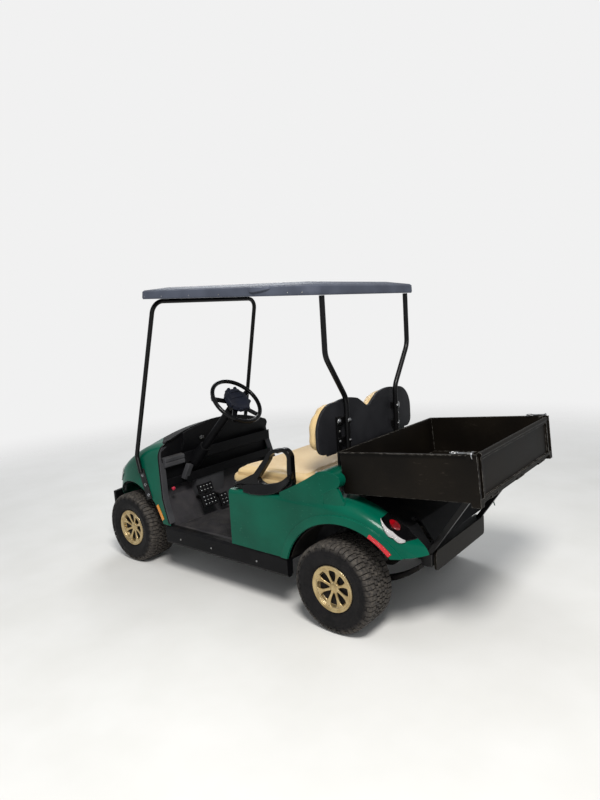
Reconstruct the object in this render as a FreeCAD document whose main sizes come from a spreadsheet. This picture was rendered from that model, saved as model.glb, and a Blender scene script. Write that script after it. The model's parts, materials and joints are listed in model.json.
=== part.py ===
import FreeCAD, Part
import math
import os
from types import SimpleNamespace

from FreeCAD import Placement, Rotation, Vector

# Two-seat golf cart with a rear cargo box, in millimetres.
# +X is forward, +Y is the cart's left side and +Z is up. The origin is on the ground, at the
# middle of the overall length. Places along X are given from the rear axle, and those of the cowl,
# the dash, the pedals and the other front parts from the front axle.

DIMENSIONS = (
    # alias, value, what it measures
    ("panel_gap", 0.3, "gap between two pieces that lie against each other"),
    ("wheelbase", 1670, "rear axle to front axle"),
    ("front_overhang", 375, "front axle to the front of the bumper"),
    ("rear_track", 980, "distance between the rear tyres' middle planes"),
    ("front_track", 900, "distance between the front tyres' middle planes"),
    ("tyre_diameter", 457, "outer diameter over the tread"),
    ("tyre_width", 213, "width over the sidewalls"),
    ("tread_width", 180, "width of the tread"),
    ("rim_diameter", 236, "outer diameter of the rim's lips"),
    ("rim_seat_diameter", 203, "diameter of the barrel that the tyre sits on"),
    ("rim_width", 190, "rim width over its lips"),
    ("rim_wall", 6, "wall of the rim's barrel"),
    ("spoke_count", 8, "openings between the spokes"),
    ("spoke_face_thickness", 16, "thickness of the spoked disc"),
    ("hub_bore", 34, "diameter of the bore on the stub axle"),
    ("hub_reach", 58, "tyre's middle plane to the end of the stub axle"),
    ("rail_spacing", 350, "distance between the frame rails' middle planes"),
    ("rail_width", 50, "width of a frame rail"),
    ("rail_height", 60, "height of a frame rail"),
    ("frame_rear_reach", 400, "rear axle to the frame's rear end"),
    ("frame_low_z", 215, "underside of the rails between the axles"),
    ("frame_high_z", 330, "underside of the rails over the rear axle"),
    ("frame_nose_z", 255, "underside of the rails at the nose"),
    ("frame_nose_reach", 265, "front axle to the rails' front end"),
    ("outrigger_reach", 515, "half width over the outriggers that carry the sills"),
    ("kingpin_inset", 90, "front tyre's middle plane to its kingpin"),
    ("kingpin_diameter", 40, "diameter of a steering knuckle's barrel"),
    ("carrier_low_z", 165, "underside of the lower arm's end"),
    ("carrier_high_z", 292, "underside of the upper lug"),
    ("carrier_plate", 14, "thickness of the arm's end and of the upper lug"),
    ("axle_tube_diameter", 70, "diameter of the rear axle's tube"),
    ("drum_diameter", 165, "diameter of the brake drums"),
    ("motor_diameter", 160, "diameter of the drive motor"),
    ("spring_inset", 185, "rear tyre's middle plane to its leaf spring"),
    ("spring_width", 45, "width of the rear leaf springs"),
    ("spring_thickness", 24, "thickness of the leaf pack"),
    ("floor_z", 290, "top of the floor"),
    ("floor_thickness", 8, "thickness of the floor and toe board"),
    ("floor_front", -380, "front axle to the foot of the toe board"),
    ("floor_rear", 330, "rear axle to the floor's rear end"),
    ("sill_width", 45, "width of a sill"),
    ("sill_bottom", 205, "underside of a sill"),
    ("sill_front", -385, "front axle to the front end of a sill"),
    ("sill_rear", 300, "rear axle to the rear end of a sill"),
    ("pod_bottom", 313, "lower edge of the seat pod"),
    ("pod_front", 705, "rear axle to the front wall of the seat pod"),
    ("body_wall", 4, "wall of the moulded body panels"),
    ("rear_arch_radius", 342, "radius of a rear wheel arch"),
    ("rear_arch_x", -37, "rear axle to the arch's centre"),
    ("rear_arch_z", 212, "height of the rear arch's centre"),
    ("front_arch_radius", 320, "radius of a front wheel arch"),
    ("front_arch_z", 212, "height of the front arch's centre"),
    ("cowl_bottom", 319, "lower edge of the front cowl"),
    ("seat_opening_rear", 165, "rear axle to the rear edge of the seat opening"),
    ("seat_opening_front", 672, "rear axle to the front edge of the seat opening"),
    ("seat_opening_half", 440, "half width of the seat opening"),
    ("battery_length", 330, "length of the battery pack"),
    ("battery_width", 640, "width of the battery pack"),
    ("battery_height", 260, "height of the battery pack"),
    ("battery_rear", 330, "rear axle to the rear of the battery pack"),
    ("seat_rear", 192, "rear axle to the rear edge of the seat cushion"),
    ("seat_front", 728, "rear axle to the front edge of the seat cushion"),
    ("seat_half_width", 479, "half width of the seat cushion"),
    ("seat_pan_z", 656, "underside of the seat pan"),
    ("seat_pan_thickness", 10, "thickness of the seat pan"),
    ("seat_cushion_height", 58, "height of the seat cushion"),
    ("seat_hinge_diameter", 14, "diameter of the seat's hinge barrels"),
    ("back_shell_x", 118, "rear axle to the rear face of the seat back shell"),
    ("back_shell_thickness", 14, "thickness of the seat back shell"),
    ("back_cushion_thickness", 60, "thickness of the seat back cushion"),
    ("back_bottom", 848, "lower edge of the seat back"),
    ("back_half_width", 472, "half width of the seat back"),
    ("back_top", 1106, "top of the seat back's two humps"),
    ("back_dip", 1044, "top of the seat back between its humps"),
    ("strut_diameter", 28, "diameter of the canopy's struts"),
    ("rear_strut_x", 90, "rear axle to the rear struts"),
    ("rear_strut_low_offset", 250, "middle plane to a rear strut beside the seat back"),
    ("rear_strut_top_offset", 410, "middle plane to a rear strut under the canopy"),
    ("back_bar_offset", 300, "middle plane to a seat back bar"),
    ("canopy_front", -258, "front axle to the canopy's front edge"),
    ("canopy_rear", 68, "rear axle to the canopy's rear edge"),
    ("canopy_half_width", 512, "half width of the canopy"),
    ("canopy_rear_z", 1644, "lower edge of the canopy at its rear"),
    ("canopy_tilt", 2.9, "degrees that the canopy rises towards the front"),
    ("canopy_edge_height", 52, "height of the canopy's edge band"),
    ("canopy_bar", -335, "front axle to the bar under the canopy's front"),
    ("canopy_rise", 16, "rise of the canopy's top above its edge band"),
    ("canopy_corner", 75, "corner radius of the canopy"),
    ("canopy_wall", 5, "wall of the canopy"),
    ("steering_tilt", 44, "degrees that the steering column slopes"),
    ("steering_x", -759, "front axle to the steering wheel's centre"),
    ("steering_y", 231, "middle plane to the steering wheel's centre"),
    ("steering_z", 1064, "height of the steering wheel's centre"),
    ("wheel_rim_radius", 161, "steering wheel's centre to the middle of its rim"),
    ("wheel_rim_diameter", 25, "thickness of the steering wheel's rim"),
    ("column_diameter", 52, "diameter of the steering column's cover"),
    ("column_start", 78, "steering wheel's centre to the top of the column"),
    ("column_length", 600, "length of the steering column"),
    ("bed_front", -32, "rear axle to the cargo box's front wall"),
    ("bed_length", 647, "length of the cargo box, without its corner channels"),
    ("bed_half_width", 480, "half width of the cargo box"),
    ("bed_depth", 207, "height of the cargo box"),
    ("bed_front_z", 685, "underside of the cargo box at its front"),
    ("bed_tilt", 4.4, "degrees that the cargo box rises towards the rear"),
    ("bed_wall", 4, "wall of the cargo box"),
    ("bed_lip", 14, "width of the folded lip round the cargo box"),
    ("bed_post_width", 42, "width of the corner channels"),
    ("gate_thickness", 12, "thickness of the tailgate panel"),
    ("gate_bar_diameter", 22, "diameter of the bar along the tailgate's top"),
    ("gate_clearance", 5, "gap at the tailgate's ends and under it"),
    ("gate_hinge_diameter", 12, "diameter of the tailgate's hinge barrels"),
    ("gate_hinge_drop", 4, "hinge axis below the cargo box's floor"),
    ("bed_rail_offset", 300, "middle plane to a rail under the cargo box"),
    ("bed_rail_height", 30, "height of the rails under the cargo box"),
)

doc = FreeCAD.newDocument("golf_cart")
sheet = doc.addObject("Spreadsheet::Sheet", "Dimensions")
for row, (alias, value, meaning) in enumerate(DIMENSIONS, start=1):
    sheet.set(f"A{row}", meaning)
    sheet.set(f"B{row}", str(value))
    sheet.setAlias(f"B{row}", alias)
doc.recompute()
size = SimpleNamespace(**{alias: float(sheet.get(alias)) for alias, _, _ in DIMENSIONS})

SIDES = (("left", 1), ("right", -1))
bed_sin = math.sin(math.radians(size.bed_tilt))
bed_cos = math.cos(math.radians(size.bed_tilt))
rear_reach = (size.bed_length + size.bed_post_width) * bed_cos - size.bed_front
front_reach = size.wheelbase + size.front_overhang
rear_axle_x = (rear_reach - front_reach) / 2


def at(x, y, z):
    """A point given from the rear axle, in the cart's own frame."""
    return Vector(rear_axle_x + x, y, z)


PLANES = {
    # name: (point from outline coordinates u, v and depth w)
    "xz": lambda u, v, w: at(u, w, v),
    "front_xz": lambda u, v, w: at(size.wheelbase + u, w, v),
    "xy": lambda u, v, w: at(u, v, w),
    "yz": lambda u, v, w: at(w, u, v),
}


def outline_edges(outline, point):
    """Lines and arcs through an outline's rows: (u, v), or (middle u, middle v, u, v) for an arc."""
    edges = []
    start = point(*outline[-1][-2:])
    for row in outline:
        end = point(*row[-2:])
        if len(row) == 4:
            edges.append(Part.Arc(start, point(*row[:2]), end).toShape())
        else:
            edges.append(Part.LineSegment(start, end).toShape())
        start = end
    return edges


def prism(outline, plane, low, high):
    """A closed outline in one plane, extruded from low to high along the third axis."""
    place = PLANES[plane]
    wire = Part.Wire(outline_edges(outline, lambda u, v: place(u, v, low)))
    depth = place(0, 0, high) - place(0, 0, low)
    return Part.Face(wire).extrude(depth)


def block(x0, x1, y0, y1, z0, z1):
    return Part.makeBox(x1 - x0, y1 - y0, z1 - z0, at(x0, y0, z0))


def rod(start, end, diameter):
    axis = end - start
    return Part.makeCylinder(diameter / 2, axis.Length, start, axis)


def bent_rod(points, bends, diameter):
    """A round bar along straight runs joined by tangent arcs, one radius for each inner point."""
    edges = []
    start = points[0]
    for before, corner, after, radius in zip(points, points[1:], points[2:], bends):
        back = (before - corner).normalize()
        on = (after - corner).normalize()
        half_turn = (math.pi - back.getAngle(on)) / 2
        reach = radius * math.tan(half_turn)
        bisector = (back + on).normalize()
        middle = corner + bisector * (radius / math.cos(half_turn) - radius)
        edges.append(Part.LineSegment(start, corner + back * reach).toShape())
        edges.append(Part.Arc(corner + back * reach, middle, corner + on * reach).toShape())
        start = corner + on * reach
    edges.append(Part.LineSegment(start, points[-1]).toShape())
    path = Part.Wire(edges)
    circle = Part.Circle(points[0], points[1] - points[0], diameter / 2)
    return path.makePipeShell([Part.Wire(circle.toShape())], True, False)


def rounded_rectangle(x0, x1, half_width, corner, z):
    """A wire in a level plane, from x0 to x1 along the cart."""
    bow = corner * (1 - math.sqrt(0.5))
    y = half_width
    outline = (
        (x1 - corner, y),
        (x1 - bow, y - bow, x1, y - corner),
        (x1, corner - y),
        (x1 - bow, bow - y, x1 - corner, -y),
        (x0 + corner, -y),
        (x0 + bow, bow - y, x0, corner - y),
        (x0, y - corner),
        (x0 + bow, y - bow, x0 + corner, y),
    )
    return Part.Wire(outline_edges(outline, lambda u, v: at(u, v, z)))


def panel_section(row, offset, bottom):
    """One cross section of a body panel, grown by offset on its sides and top."""
    side = row.half_width + offset
    shoulder = side - row.lean
    edge = row.top - row.crown + offset
    bow = row.corner * (1 - math.sqrt(0.5))
    outline = (
        (side, bottom),
        (shoulder, edge - row.corner),
        (shoulder - bow, edge - bow, shoulder - row.corner, edge),
        (0, row.top + offset, row.corner - shoulder, edge),
        (bow - shoulder, edge - bow, -shoulder, edge - row.corner),
        (-side, bottom),
    )
    return Part.Wire(outline_edges(outline, lambda u, v: at(row.x, u, v)))


def panel_loft(table, offset, bottom, front_trim=0, rear_trim=0):
    """A body panel lofted through its table of sections, from front to rear."""
    rows = [SimpleNamespace(**row) for row in table]
    rows[0].x -= front_trim
    rows[-1].x += rear_trim
    return Part.makeLoft([panel_section(row, offset, bottom) for row in rows], True)


def polar(centre, radius, degrees):
    turn = math.radians(degrees)
    return centre[0] + radius * math.cos(turn), centre[1] + radius * math.sin(turn)


def both_sides(shape):
    """The shape and its mirror image across the middle plane."""
    return shape, shape.mirror(Vector(0, 0, 0), Vector(0, 1, 0))


def joined(first, *others):
    return first.fuse(list(others)).removeSplitter()


def feature(label, shape):
    part = doc.addObject("Part::Feature", label)
    part.Label = label
    part.Shape = shape
    parts.append(part)
    return part


def finished(label, part):
    part.Label = label
    parts.append(part)
    return part


def bind(part, **expressions):
    for name, expression in expressions.items():
        part.setExpression(name, expression)
    return part


parts = []


def sketch_body(name, role):
    """An empty body with one sketch on the named plane of its own origin."""
    body = doc.addObject("PartDesign::Body", name)
    sketch = body.newObject("Sketcher::SketchObject", name + "_sketch")
    plane = next(p for p in body.Origin.OriginFeatures if p.Role == role)
    sketch.AttachmentSupport = (plane, [""])
    sketch.MapMode = "FlatFace"
    return body, sketch


def draw(sketch, outline):
    """Adds a closed outline of lines and arcs to a sketch."""
    flat = lambda u, v: Vector(u, v, 0)
    start = flat(*outline[-1][-2:])
    for row in outline:
        end = flat(*row[-2:])
        if len(row) == 4:
            sketch.addGeometry(Part.Arc(start, flat(*row[:2]), end), False)
        else:
            sketch.addGeometry(Part.LineSegment(start, end), False)
        start = end


# where the coil-overs stand: ahead of the front axle, and from the middle plane
COIL_X, COIL_Y = 50, 240


def frame():
    """Two side rails with cross members, outriggers and the front spring towers."""
    high, low, nose = size.frame_high_z, size.frame_low_z, size.frame_nose_z
    tall = size.rail_height
    rear, front = -size.frame_rear_reach, size.wheelbase + size.frame_nose_reach
    kick = (170, 300)
    rise = (size.wheelbase - 340, size.wheelbase - 270)
    outline = (
        (rear, high),
        (kick[0], high),
        (kick[1], low),
        (rise[0], low),
        (rise[1], nose),
        (front, nose),
        (front, nose + tall),
        (rise[1] - 15, nose + tall),
        (rise[0] - 15, low + tall),
        (kick[1] + 20, low + tall),
        (kick[0] + 20, high + tall),
        (rear, high + tall),
    )
    inner = (size.rail_spacing - size.rail_width) / 2
    outer = inner + size.rail_width
    rails = [prism(outline, "xz", inner, outer), prism(outline, "xz", -outer, -inner)]
    cross = [
        block(rear, rear + 50, -320, 320, high, high + tall),
        block(60, 120, -300, 300, high + tall, high + tall + 40),
        block(-110, -60, -260, 260, high + tall, high + tall + 20),
        block(330, 380, -345, 345, low, low + tall),
        block(420, 470, -size.outrigger_reach, size.outrigger_reach, low, low + tall),
        block(rise[0] - 250, rise[0] - 200, -size.outrigger_reach, size.outrigger_reach, low, low + tall),
        block(front - 50, front, -inner, inner, nose, nose + tall),
        block(size.wheelbase - 60, size.wheelbase + 60, -inner, inner, nose, nose + 30),
    ]
    tower = size.wheelbase + COIL_X
    post = block(tower - 30, tower + 30, inner, outer, nose + tall, 430)
    cap = block(tower - 30, tower + 30, inner, COIL_Y + 24, 430, 442)
    shapes = cross + [piece for part in (post, cap) for piece in both_sides(part)]
    feature("frame", joined(rails[0], rails[1], *shapes))


def battery_pack():
    pack = doc.addObject("Part::Box", "battery_pack")
    bind(
        pack,
        Length="Dimensions.battery_length",
        Width="Dimensions.battery_width",
        Height="Dimensions.battery_height",
    )
    corner = at(size.battery_rear, -size.battery_width / 2, size.floor_z + size.panel_gap)
    pack.Placement = Placement(corner, Rotation())
    finished("battery_pack", pack)


def rear_axle():
    """Axle tube, differential and reduction case, drums, stub axles and the drive motor."""
    z = size.tyre_diameter / 2
    wheel_y = size.rear_track / 2
    drum_y = wheel_y - 55
    tube = rod(at(0, -drum_y, z), at(0, drum_y, z), size.axle_tube_diameter)
    reach = wheel_y + size.hub_reach
    stub = rod(at(0, -reach, z), at(0, reach, z), size.hub_bore - 2 * size.panel_gap)
    drums = both_sides(rod(at(0, drum_y - 45, z), at(0, drum_y, z), size.drum_diameter))
    case = rod(at(0, -52, z), at(0, 52, z), 150)
    gears = rod(at(118, -52, z), at(118, 45, z), 110)
    web = block(0, 118, -40, 40, z - 52, z + 52)
    motor_end = wheel_y - size.spring_inset - size.spring_width / 2 - 32
    motor = rod(at(118, 45, z), at(118, motor_end, z), size.motor_diameter)
    feature("rear_axle", joined(tube, stub, *drums, case, gears, web, motor))


def rear_suspension():
    """A leaf spring under each side of the axle, with its damper behind it."""
    axle_z = size.tyre_diameter / 2
    seat = axle_z - size.axle_tube_diameter / 2 - size.panel_gap
    thick = size.spring_thickness
    front_x, rear_x = 330 - size.panel_gap, -340
    front_z, rear_z = size.frame_low_z + 20, size.frame_high_z - size.panel_gap - thick
    outline = (
        (front_x, front_z + thick),
        (0, seat, rear_x, rear_z + thick),
        (rear_x, rear_z),
        (0, seat - thick, front_x, front_z),
    )
    low = size.rear_track / 2 - size.spring_inset - size.spring_width / 2
    leaf = prism(outline, "xz", low, low + size.spring_width)
    top = at(-85, 235, size.frame_high_z + size.rail_height - 3)
    foot = at(-30, 235, axle_z + 40)
    damper = rod(foot, foot + (top - foot) * 0.62, 44)
    shaft = rod(foot, top, 16)
    shock = joined(damper, shaft)
    shapes = both_sides(leaf) + both_sides(shock)
    feature("rear_suspension", Part.makeCompound(list(shapes)))


def front_suspension():
    """Lower arms with the kingpin carriers, and a coil-over on each."""
    x = size.wheelbase
    low, high, plate = size.carrier_low_z, size.carrier_high_z, size.carrier_plate
    pin = size.front_track / 2 - size.kingpin_inset
    rail = (size.rail_spacing + size.rail_width) / 2 + size.panel_gap
    arm_outline = (
        (x - 110, rail),
        (x + 110, rail),
        (x + 85, rail + 30),
        (x + 24, pin + 14),
        (x, pin + 26, x - 24, pin + 14),
        (x - 85, rail + 30),
    )
    arm = prism(arm_outline, "xy", low, low + plate)
    feet = [
        block(x + s * 90 - 20, x + s * 90 + 20, rail, rail + 30, low, size.frame_nose_z + 40)
        for s in (-1, 1)
    ]
    web = block(x - 12, x + 12, pin - 64, pin - 48, low, high + plate)
    lug_outline = ((x - 12, pin - 64), (x + 12, pin - 64), (x + 20, pin), (x, pin + 20, x - 20, pin))
    lug = prism(lug_outline, "xy", high, high + plate)
    spring_top = at(x + COIL_X, COIL_Y - 2, 430 - 3)
    spring_foot = at(x + COIL_X, COIL_Y, low + plate)
    damper = rod(spring_foot, spring_top, 20)
    along = spring_top - spring_foot
    coils = [
        rod(spring_foot + along * (0.22 + 0.075 * k), spring_foot + along * (0.255 + 0.075 * k), 56)
        for k in range(9)
    ]
    side = joined(arm, *feet, web, lug, damper, *coils)
    feature("front_suspension", Part.makeCompound(list(both_sides(side))))


def knuckles():
    """A steering knuckle on each side: kingpin barrel, stub axle and steering arm."""
    x, pin = size.wheelbase, size.front_track / 2 - size.kingpin_inset
    z = size.tyre_diameter / 2
    low = size.carrier_low_z + size.carrier_plate + size.panel_gap
    high = size.carrier_high_z - size.panel_gap
    reach = size.front_track / 2 + size.hub_reach
    barrel = rod(at(x, pin, low), at(x, pin, high), size.kingpin_diameter)
    stub = rod(at(x, pin, z), at(x, reach, z), size.hub_bore - 2 * size.panel_gap)
    backing = rod(at(x, pin + 22, z), at(x, pin + 40, z), 70)
    outline = (
        (x - 10, pin - 18),
        (x - 10, pin + 18),
        (x - 50, pin - 12),
        (x - 105, pin - 18),
        (x - 119, pin - 32, x - 105, pin - 46),
        (x - 50, pin - 40),
    )
    arm = prism(outline, "xy", z + 30, z + 44)
    for (name, _), shape in zip(SIDES, both_sides(joined(barrel, stub, backing, arm))):
        feature(f"knuckle_{name}", shape)


def steering_rack():
    """The rack's housing, across the frame between the rails."""
    x = size.wheelbase - 105
    z = size.frame_nose_z + 30
    inner = (size.rail_spacing - size.rail_width) / 2 - size.panel_gap
    housing = rod(at(x + 20, -inner, z + 15), at(x + 20, inner, z + 15), 50)
    feature("steering_rack", housing)


def wheel_bodies():
    """Four wheels, each a spoked rim and its tyre, revolved about the wheel's own Y axis."""
    places = (
        # name, distance from the rear axle, track
        ("rear", 0, size.rear_track),
        ("front", size.wheelbase, size.front_track),
    )
    for end, x, track in places:
        for side, sign in SIDES:
            centre = at(x, sign * track / 2, size.tyre_diameter / 2)
            turn = Rotation(Vector(0, 0, 1), 0 if sign > 0 else 180)
            name = f"{end}_{side}"
            rim(name, Placement(centre, turn))
            tyre(name, Placement(centre, turn))


def rim(name, placement):
    """A dished alloy rim: barrel with two lips, and a disc with openings between its spokes."""
    body, sketch = sketch_body(f"rim_{name}_body", "XY_Plane")
    lip = size.rim_diameter / 2
    seat = size.rim_seat_diameter / 2
    inner = seat - size.rim_wall
    half = size.rim_width / 2
    wall = size.rim_wall
    bore = size.hub_bore / 2
    face = half - 42
    back = face - size.spoke_face_thickness
    hub = 32
    draw(
        sketch,
        (
            (bore, face + 8),
            (hub, face + 8),
            (hub + 12, face),
            (inner - 6, face + 20),
            (inner, half),
            (lip, half),
            (lip, half - wall),
            (seat, half - 3 * wall),
            (seat, 3 * wall - half),
            (lip, wall - half),
            (lip, -half),
            (inner, -half),
            (inner, back + 12),
            (hub + 12, back),
            (bore, back),
        ),
    )
    revolution = body.newObject("PartDesign::Revolution", f"rim_{name}_turned")
    revolution.Profile = sketch
    revolution.ReferenceAxis = (sketch, ["V_Axis"])
    revolution.Angle = 360
    opening = body.newObject("Sketcher::SketchObject", f"rim_{name}_opening")
    plane = next(p for p in body.Origin.OriginFeatures if p.Role == "XZ_Plane")
    opening.AttachmentSupport = (plane, [""])
    opening.MapMode = "FlatFace"
    outer = inner - 8
    spread = math.pi / size.spoke_count * 0.5
    narrow = 38
    draw(
        opening,
        (
            (-5, narrow),
            (-outer * math.sin(spread), outer * math.cos(spread)),
            (0, outer, outer * math.sin(spread), outer * math.cos(spread)),
            (5, narrow),
        ),
    )
    pocket = body.newObject("PartDesign::Pocket", f"rim_{name}_window")
    pocket.Profile = opening
    pocket.Type = "ThroughAll"
    pocket.Midplane = True
    doc.recompute()
    pattern = body.newObject("PartDesign::PolarPattern", f"rim_{name}_windows")
    pattern.Originals = [pocket]
    pattern.Axis = (opening, ["N_Axis"])
    pattern.Angle = 360
    pattern.setExpression("Occurrences", "Dimensions.spoke_count")
    body.Tip = pattern
    body.Placement = placement
    finished(f"rim_{name}", body)


def tyre(name, placement):
    """A tyre with rounded shoulders on the rim's barrel."""
    body, sketch = sketch_body(f"tyre_{name}_body", "XY_Plane")
    outer = size.tyre_diameter / 2
    seat = size.rim_seat_diameter / 2 + size.panel_gap
    lip = size.rim_diameter / 2 + size.panel_gap
    wide = size.tyre_width / 2
    tread = size.tread_width / 2
    bead = size.rim_width / 2 - size.rim_wall * 3 - size.panel_gap
    side = size.rim_width / 2 - size.panel_gap
    middle = (outer + lip) / 2
    draw(
        sketch,
        (
            (seat, bead),
            (seat, -bead),
            (lip, size.rim_wall - size.rim_width / 2 + size.panel_gap * 2),
            (lip + 4, -side),
            (middle, -wide, outer - 24, -(wide + tread) / 2 - 6),
            (outer - 7, -tread - 3, outer - 2, -tread + 8),
            (outer, 0, outer - 2, tread - 8),
            (outer - 7, tread + 3, outer - 24, (wide + tread) / 2 + 6),
            (middle, wide, lip + 4, side),
            (lip, size.rim_width / 2 - size.rim_wall - size.panel_gap * 2),
        ),
    )
    revolution = body.newObject("PartDesign::Revolution", f"tyre_{name}_turned")
    revolution.Profile = sketch
    revolution.ReferenceAxis = (sketch, ["V_Axis"])
    revolution.Angle = 360
    body.Placement = placement
    finished(f"tyre_{name}", body)


# the toe board's bend and top edge, from the front axle
FLOOR_TOE = (-272, 455)
FLOOR_TOP = (-270, 520)


def floor():
    """The floor from under the seat pod to the toe board."""
    z, thick = size.floor_z, size.floor_thickness
    rear = size.floor_rear - size.wheelbase
    outline = (
        (rear, z - thick),
        (size.floor_front, z - thick),
        FLOOR_TOE,
        FLOOR_TOP,
        (FLOOR_TOP[0] - thick, FLOOR_TOP[1]),
        (FLOOR_TOE[0] - thick, FLOOR_TOE[1] + 2),
        (size.floor_front - 4, z),
        (rear, z),
    )
    half = size.outrigger_reach
    feature("floor", prism(outline, "front_xz", -half, half))


def sills():
    """The step rails along both edges of the floor."""
    inner = size.outrigger_reach + size.panel_gap
    outer = inner + size.sill_width
    low, top = size.sill_bottom, size.pod_bottom - size.panel_gap
    outline = (
        (inner, low + 12),
        (inner + 12, low),
        (outer - 10, low),
        (outer, low + 14),
        (outer, top - 14),
        (outer - 10, top),
        (inner, top),
    )
    shape = prism(outline, "yz", size.sill_rear, size.wheelbase + size.sill_front)
    feature("sills", Part.makeCompound(list(both_sides(shape))))


def rear_sections():
    rows = (
        # distance from the rear axle, half width, lean of the side, top, corner radius
        (size.pod_front, 556, 4, 628, 22),
        (560, 558, 4, 641, 24),
        (380, 560, 6, 648, 26),
        (165, 568, 9, 651, 34),
        (60, 576, 14, 664, 44),
        (-60, 578, 24, 658, 52),
        (-200, 572, 32, 612, 56),
        (-330, 545, 36, 535, 56),
        (-452, 400, 34, 430, 50),
    )
    names = ("x", "half_width", "lean", "top", "corner")
    return [dict(zip(names, row), crown=2) for row in rows]


def shoulder_sections():
    """The pod's sides carried up past its top at the same slope, for the shoulders."""
    rows = (
        # distance from the rear axle, half width, lean of the side, top, corner radius
        (380, 560, 9, 830, 30),
        (165, 568, 14, 830, 30),
        (60, 576, 22, 830, 30),
        (-60, 578, 39, 830, 30),
    )
    names = ("x", "half_width", "lean", "top", "corner")
    return [dict(zip(names, row), crown=2) for row in rows]


def rear_shoulder(offset):
    """The raised shoulder beside the seat back's foot, in side view."""
    low = 600
    outline = (
        (330 + offset, low),
        (330 + offset, 660),
        (225, 711 + offset),
        (144, 755 + offset),
        (80, 792 + offset),
        (20, 806 + offset, -42, 782 + offset),
        (-50 - offset, 765, -36 - offset, 730),
        (44, 690),
        (44, low),
    )
    return outline


# how far the shoulders' sides lie inside the pod's own
SHOULDER_INSET = 3
# the raised band round a rear wheel arch: inner radius, outer radius, height above the body
ARCH_BAND = (345, 386, 7)


def rear_body():
    """The moulded seat pod with its shoulders and rear fenders, open below and under the seat."""
    wall, bottom = size.body_wall, size.pod_bottom
    outer = panel_loft(rear_sections(), 0, bottom)
    inner = panel_loft(rear_sections(), -wall, bottom - 1, wall, wall)
    sides = panel_loft(shoulder_sections(), -SHOULDER_INSET, bottom)
    inner_sides = panel_loft(shoulder_sections(), -SHOULDER_INSET - wall, bottom - 1, wall, wall)
    narrow = prism(rear_shoulder(0), "xz", 490, 600)
    wide = prism(rear_shoulder(0), "xz", 425, 520).common(block(-20, 130, 400, 600, 500, 900))
    shoulder = joined(narrow.common(sides), wide)
    hollow = prism(rear_shoulder(-wall), "xz", 490 + wall, 600).common(inner_sides)
    x, z = size.rear_arch_x, size.rear_arch_z
    near, far, proud = ARCH_BAND
    swell = panel_loft(rear_sections(), proud, bottom)
    ring = rod(at(x, 480, z), at(x, 700, z), 2 * far).cut(rod(at(x, 470, z), at(x, 710, z), 2 * near))
    band = swell.common(ring)
    arch = rod(at(x, 345, z), at(x, 700, z), 2 * size.rear_arch_radius)
    opening = size.seat_opening_half
    cuts = [
        inner,
        block(size.seat_opening_rear, size.seat_opening_front, -opening, opening, 500, 900),
        block(-600, size.seat_opening_rear, -400, 400, 300, 900),
        block(-600, x - 200, -700, 700, 300, 429),
    ]
    body = joined(outer, *both_sides(shoulder), *both_sides(band)).cut(cuts)
    body = body.cut(list(both_sides(hollow)) + list(both_sides(arch)))
    feature("rear_body", body)


# right end of the deck's barrel in each seat hinge, with the seat's barrels on both sides of it
SEAT_HINGES = (-240, 200)


def rear_deck():
    """The black deck behind the seat, sloping down between the fenders."""
    thick = 6
    outline = (
        (160, 650),
        (160, 650 + thick),
        (-58, 650 + thick),
        (-333, 540),
        (-405, 440),
        (-398, 440),
        (-328, 535),
        (-60, 650),
    )
    half = 400 - 2 * size.panel_gap
    deck = prism(outline, "xz", -half, half)
    holes = []
    for _, sign in SIDES:
        y = sign * size.rear_strut_low_offset
        holes.append(rod(at(size.rear_strut_x, y, 600), at(size.rear_strut_x, y, 700), size.strut_diameter + 4))
        holes.append(block(-99, -61, min(sign * 155, sign * 195), max(sign * 155, sign * 195), 500, 700))
        edge = sign * size.bed_rail_offset
        holes.append(block(-480, -300, edge - 18, edge + 18, 380, 600))
    deck = deck.cut(holes)
    x, z = size.seat_rear, size.seat_pan_z
    for y in SEAT_HINGES:
        barrel = rod(at(x, y, z), at(x, y + 40, z), size.seat_hinge_diameter)
        tab = block(150, x, y, y + 40, z - 6, z)
        deck = joined(deck, barrel, tab)
    feature("rear_deck", deck)


def cowl_sections():
    rows = (
        # distance from the front axle, half width, lean of the side, top, crown, corner radius
        (-570, 550, 46, 905, 72, 90),
        (-310, 550, 48, 893, 72, 90),
        (-150, 545, 50, 850, 66, 88),
        (10, 530, 46, 775, 58, 80),
        (160, 495, 40, 678, 48, 70),
        (255, 432, 34, 588, 38, 60),
        (295, 350, 28, 510, 28, 50),
        (322, 220, 20, 430, 18, 36),
    )
    names = ("x", "half_width", "lean", "top", "crown", "corner")
    sections = [dict(zip(names, row)) for row in reversed(rows)]
    for section in sections:
        section["x"] += size.wheelbase
    return sections


# the cowl's edge towards the driver, in side view from the front axle
OPENING_EDGE = ((-445, 200), (-436, 300), (-355, 477), (-302, 729), (-323, 824), (-330, 1000))


def front_cowl():
    """The moulded nose and front fenders, open below and towards the driver."""
    wall, bottom = size.body_wall, size.cowl_bottom
    outer = panel_loft(cowl_sections(), 0, bottom)
    inner = panel_loft(cowl_sections(), -wall, bottom - 1, wall)
    mouth = prism(((-670, 1000), (-670, 200)) + OPENING_EDGE, "front_xz", -700, 700)
    x, z = size.wheelbase, size.front_arch_z
    arch = rod(at(x, -700, z), at(x, 700, z), 2 * size.front_arch_radius)
    tail = ((-358, 200), (-358, 319), (-266, 432), (-170, 505), (30, 400), (30, 200))
    rear_arch = prism(tail, "front_xz", -700, 700)
    shell = outer.cut([inner, mouth, arch, rear_arch])
    feature("front_cowl", shell)


def steering_axis():
    tilt = math.radians(size.steering_tilt)
    centre = at(size.wheelbase + size.steering_x, size.steering_y, size.steering_z)
    return centre, Vector(math.cos(tilt), 0, -math.sin(tilt))


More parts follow.
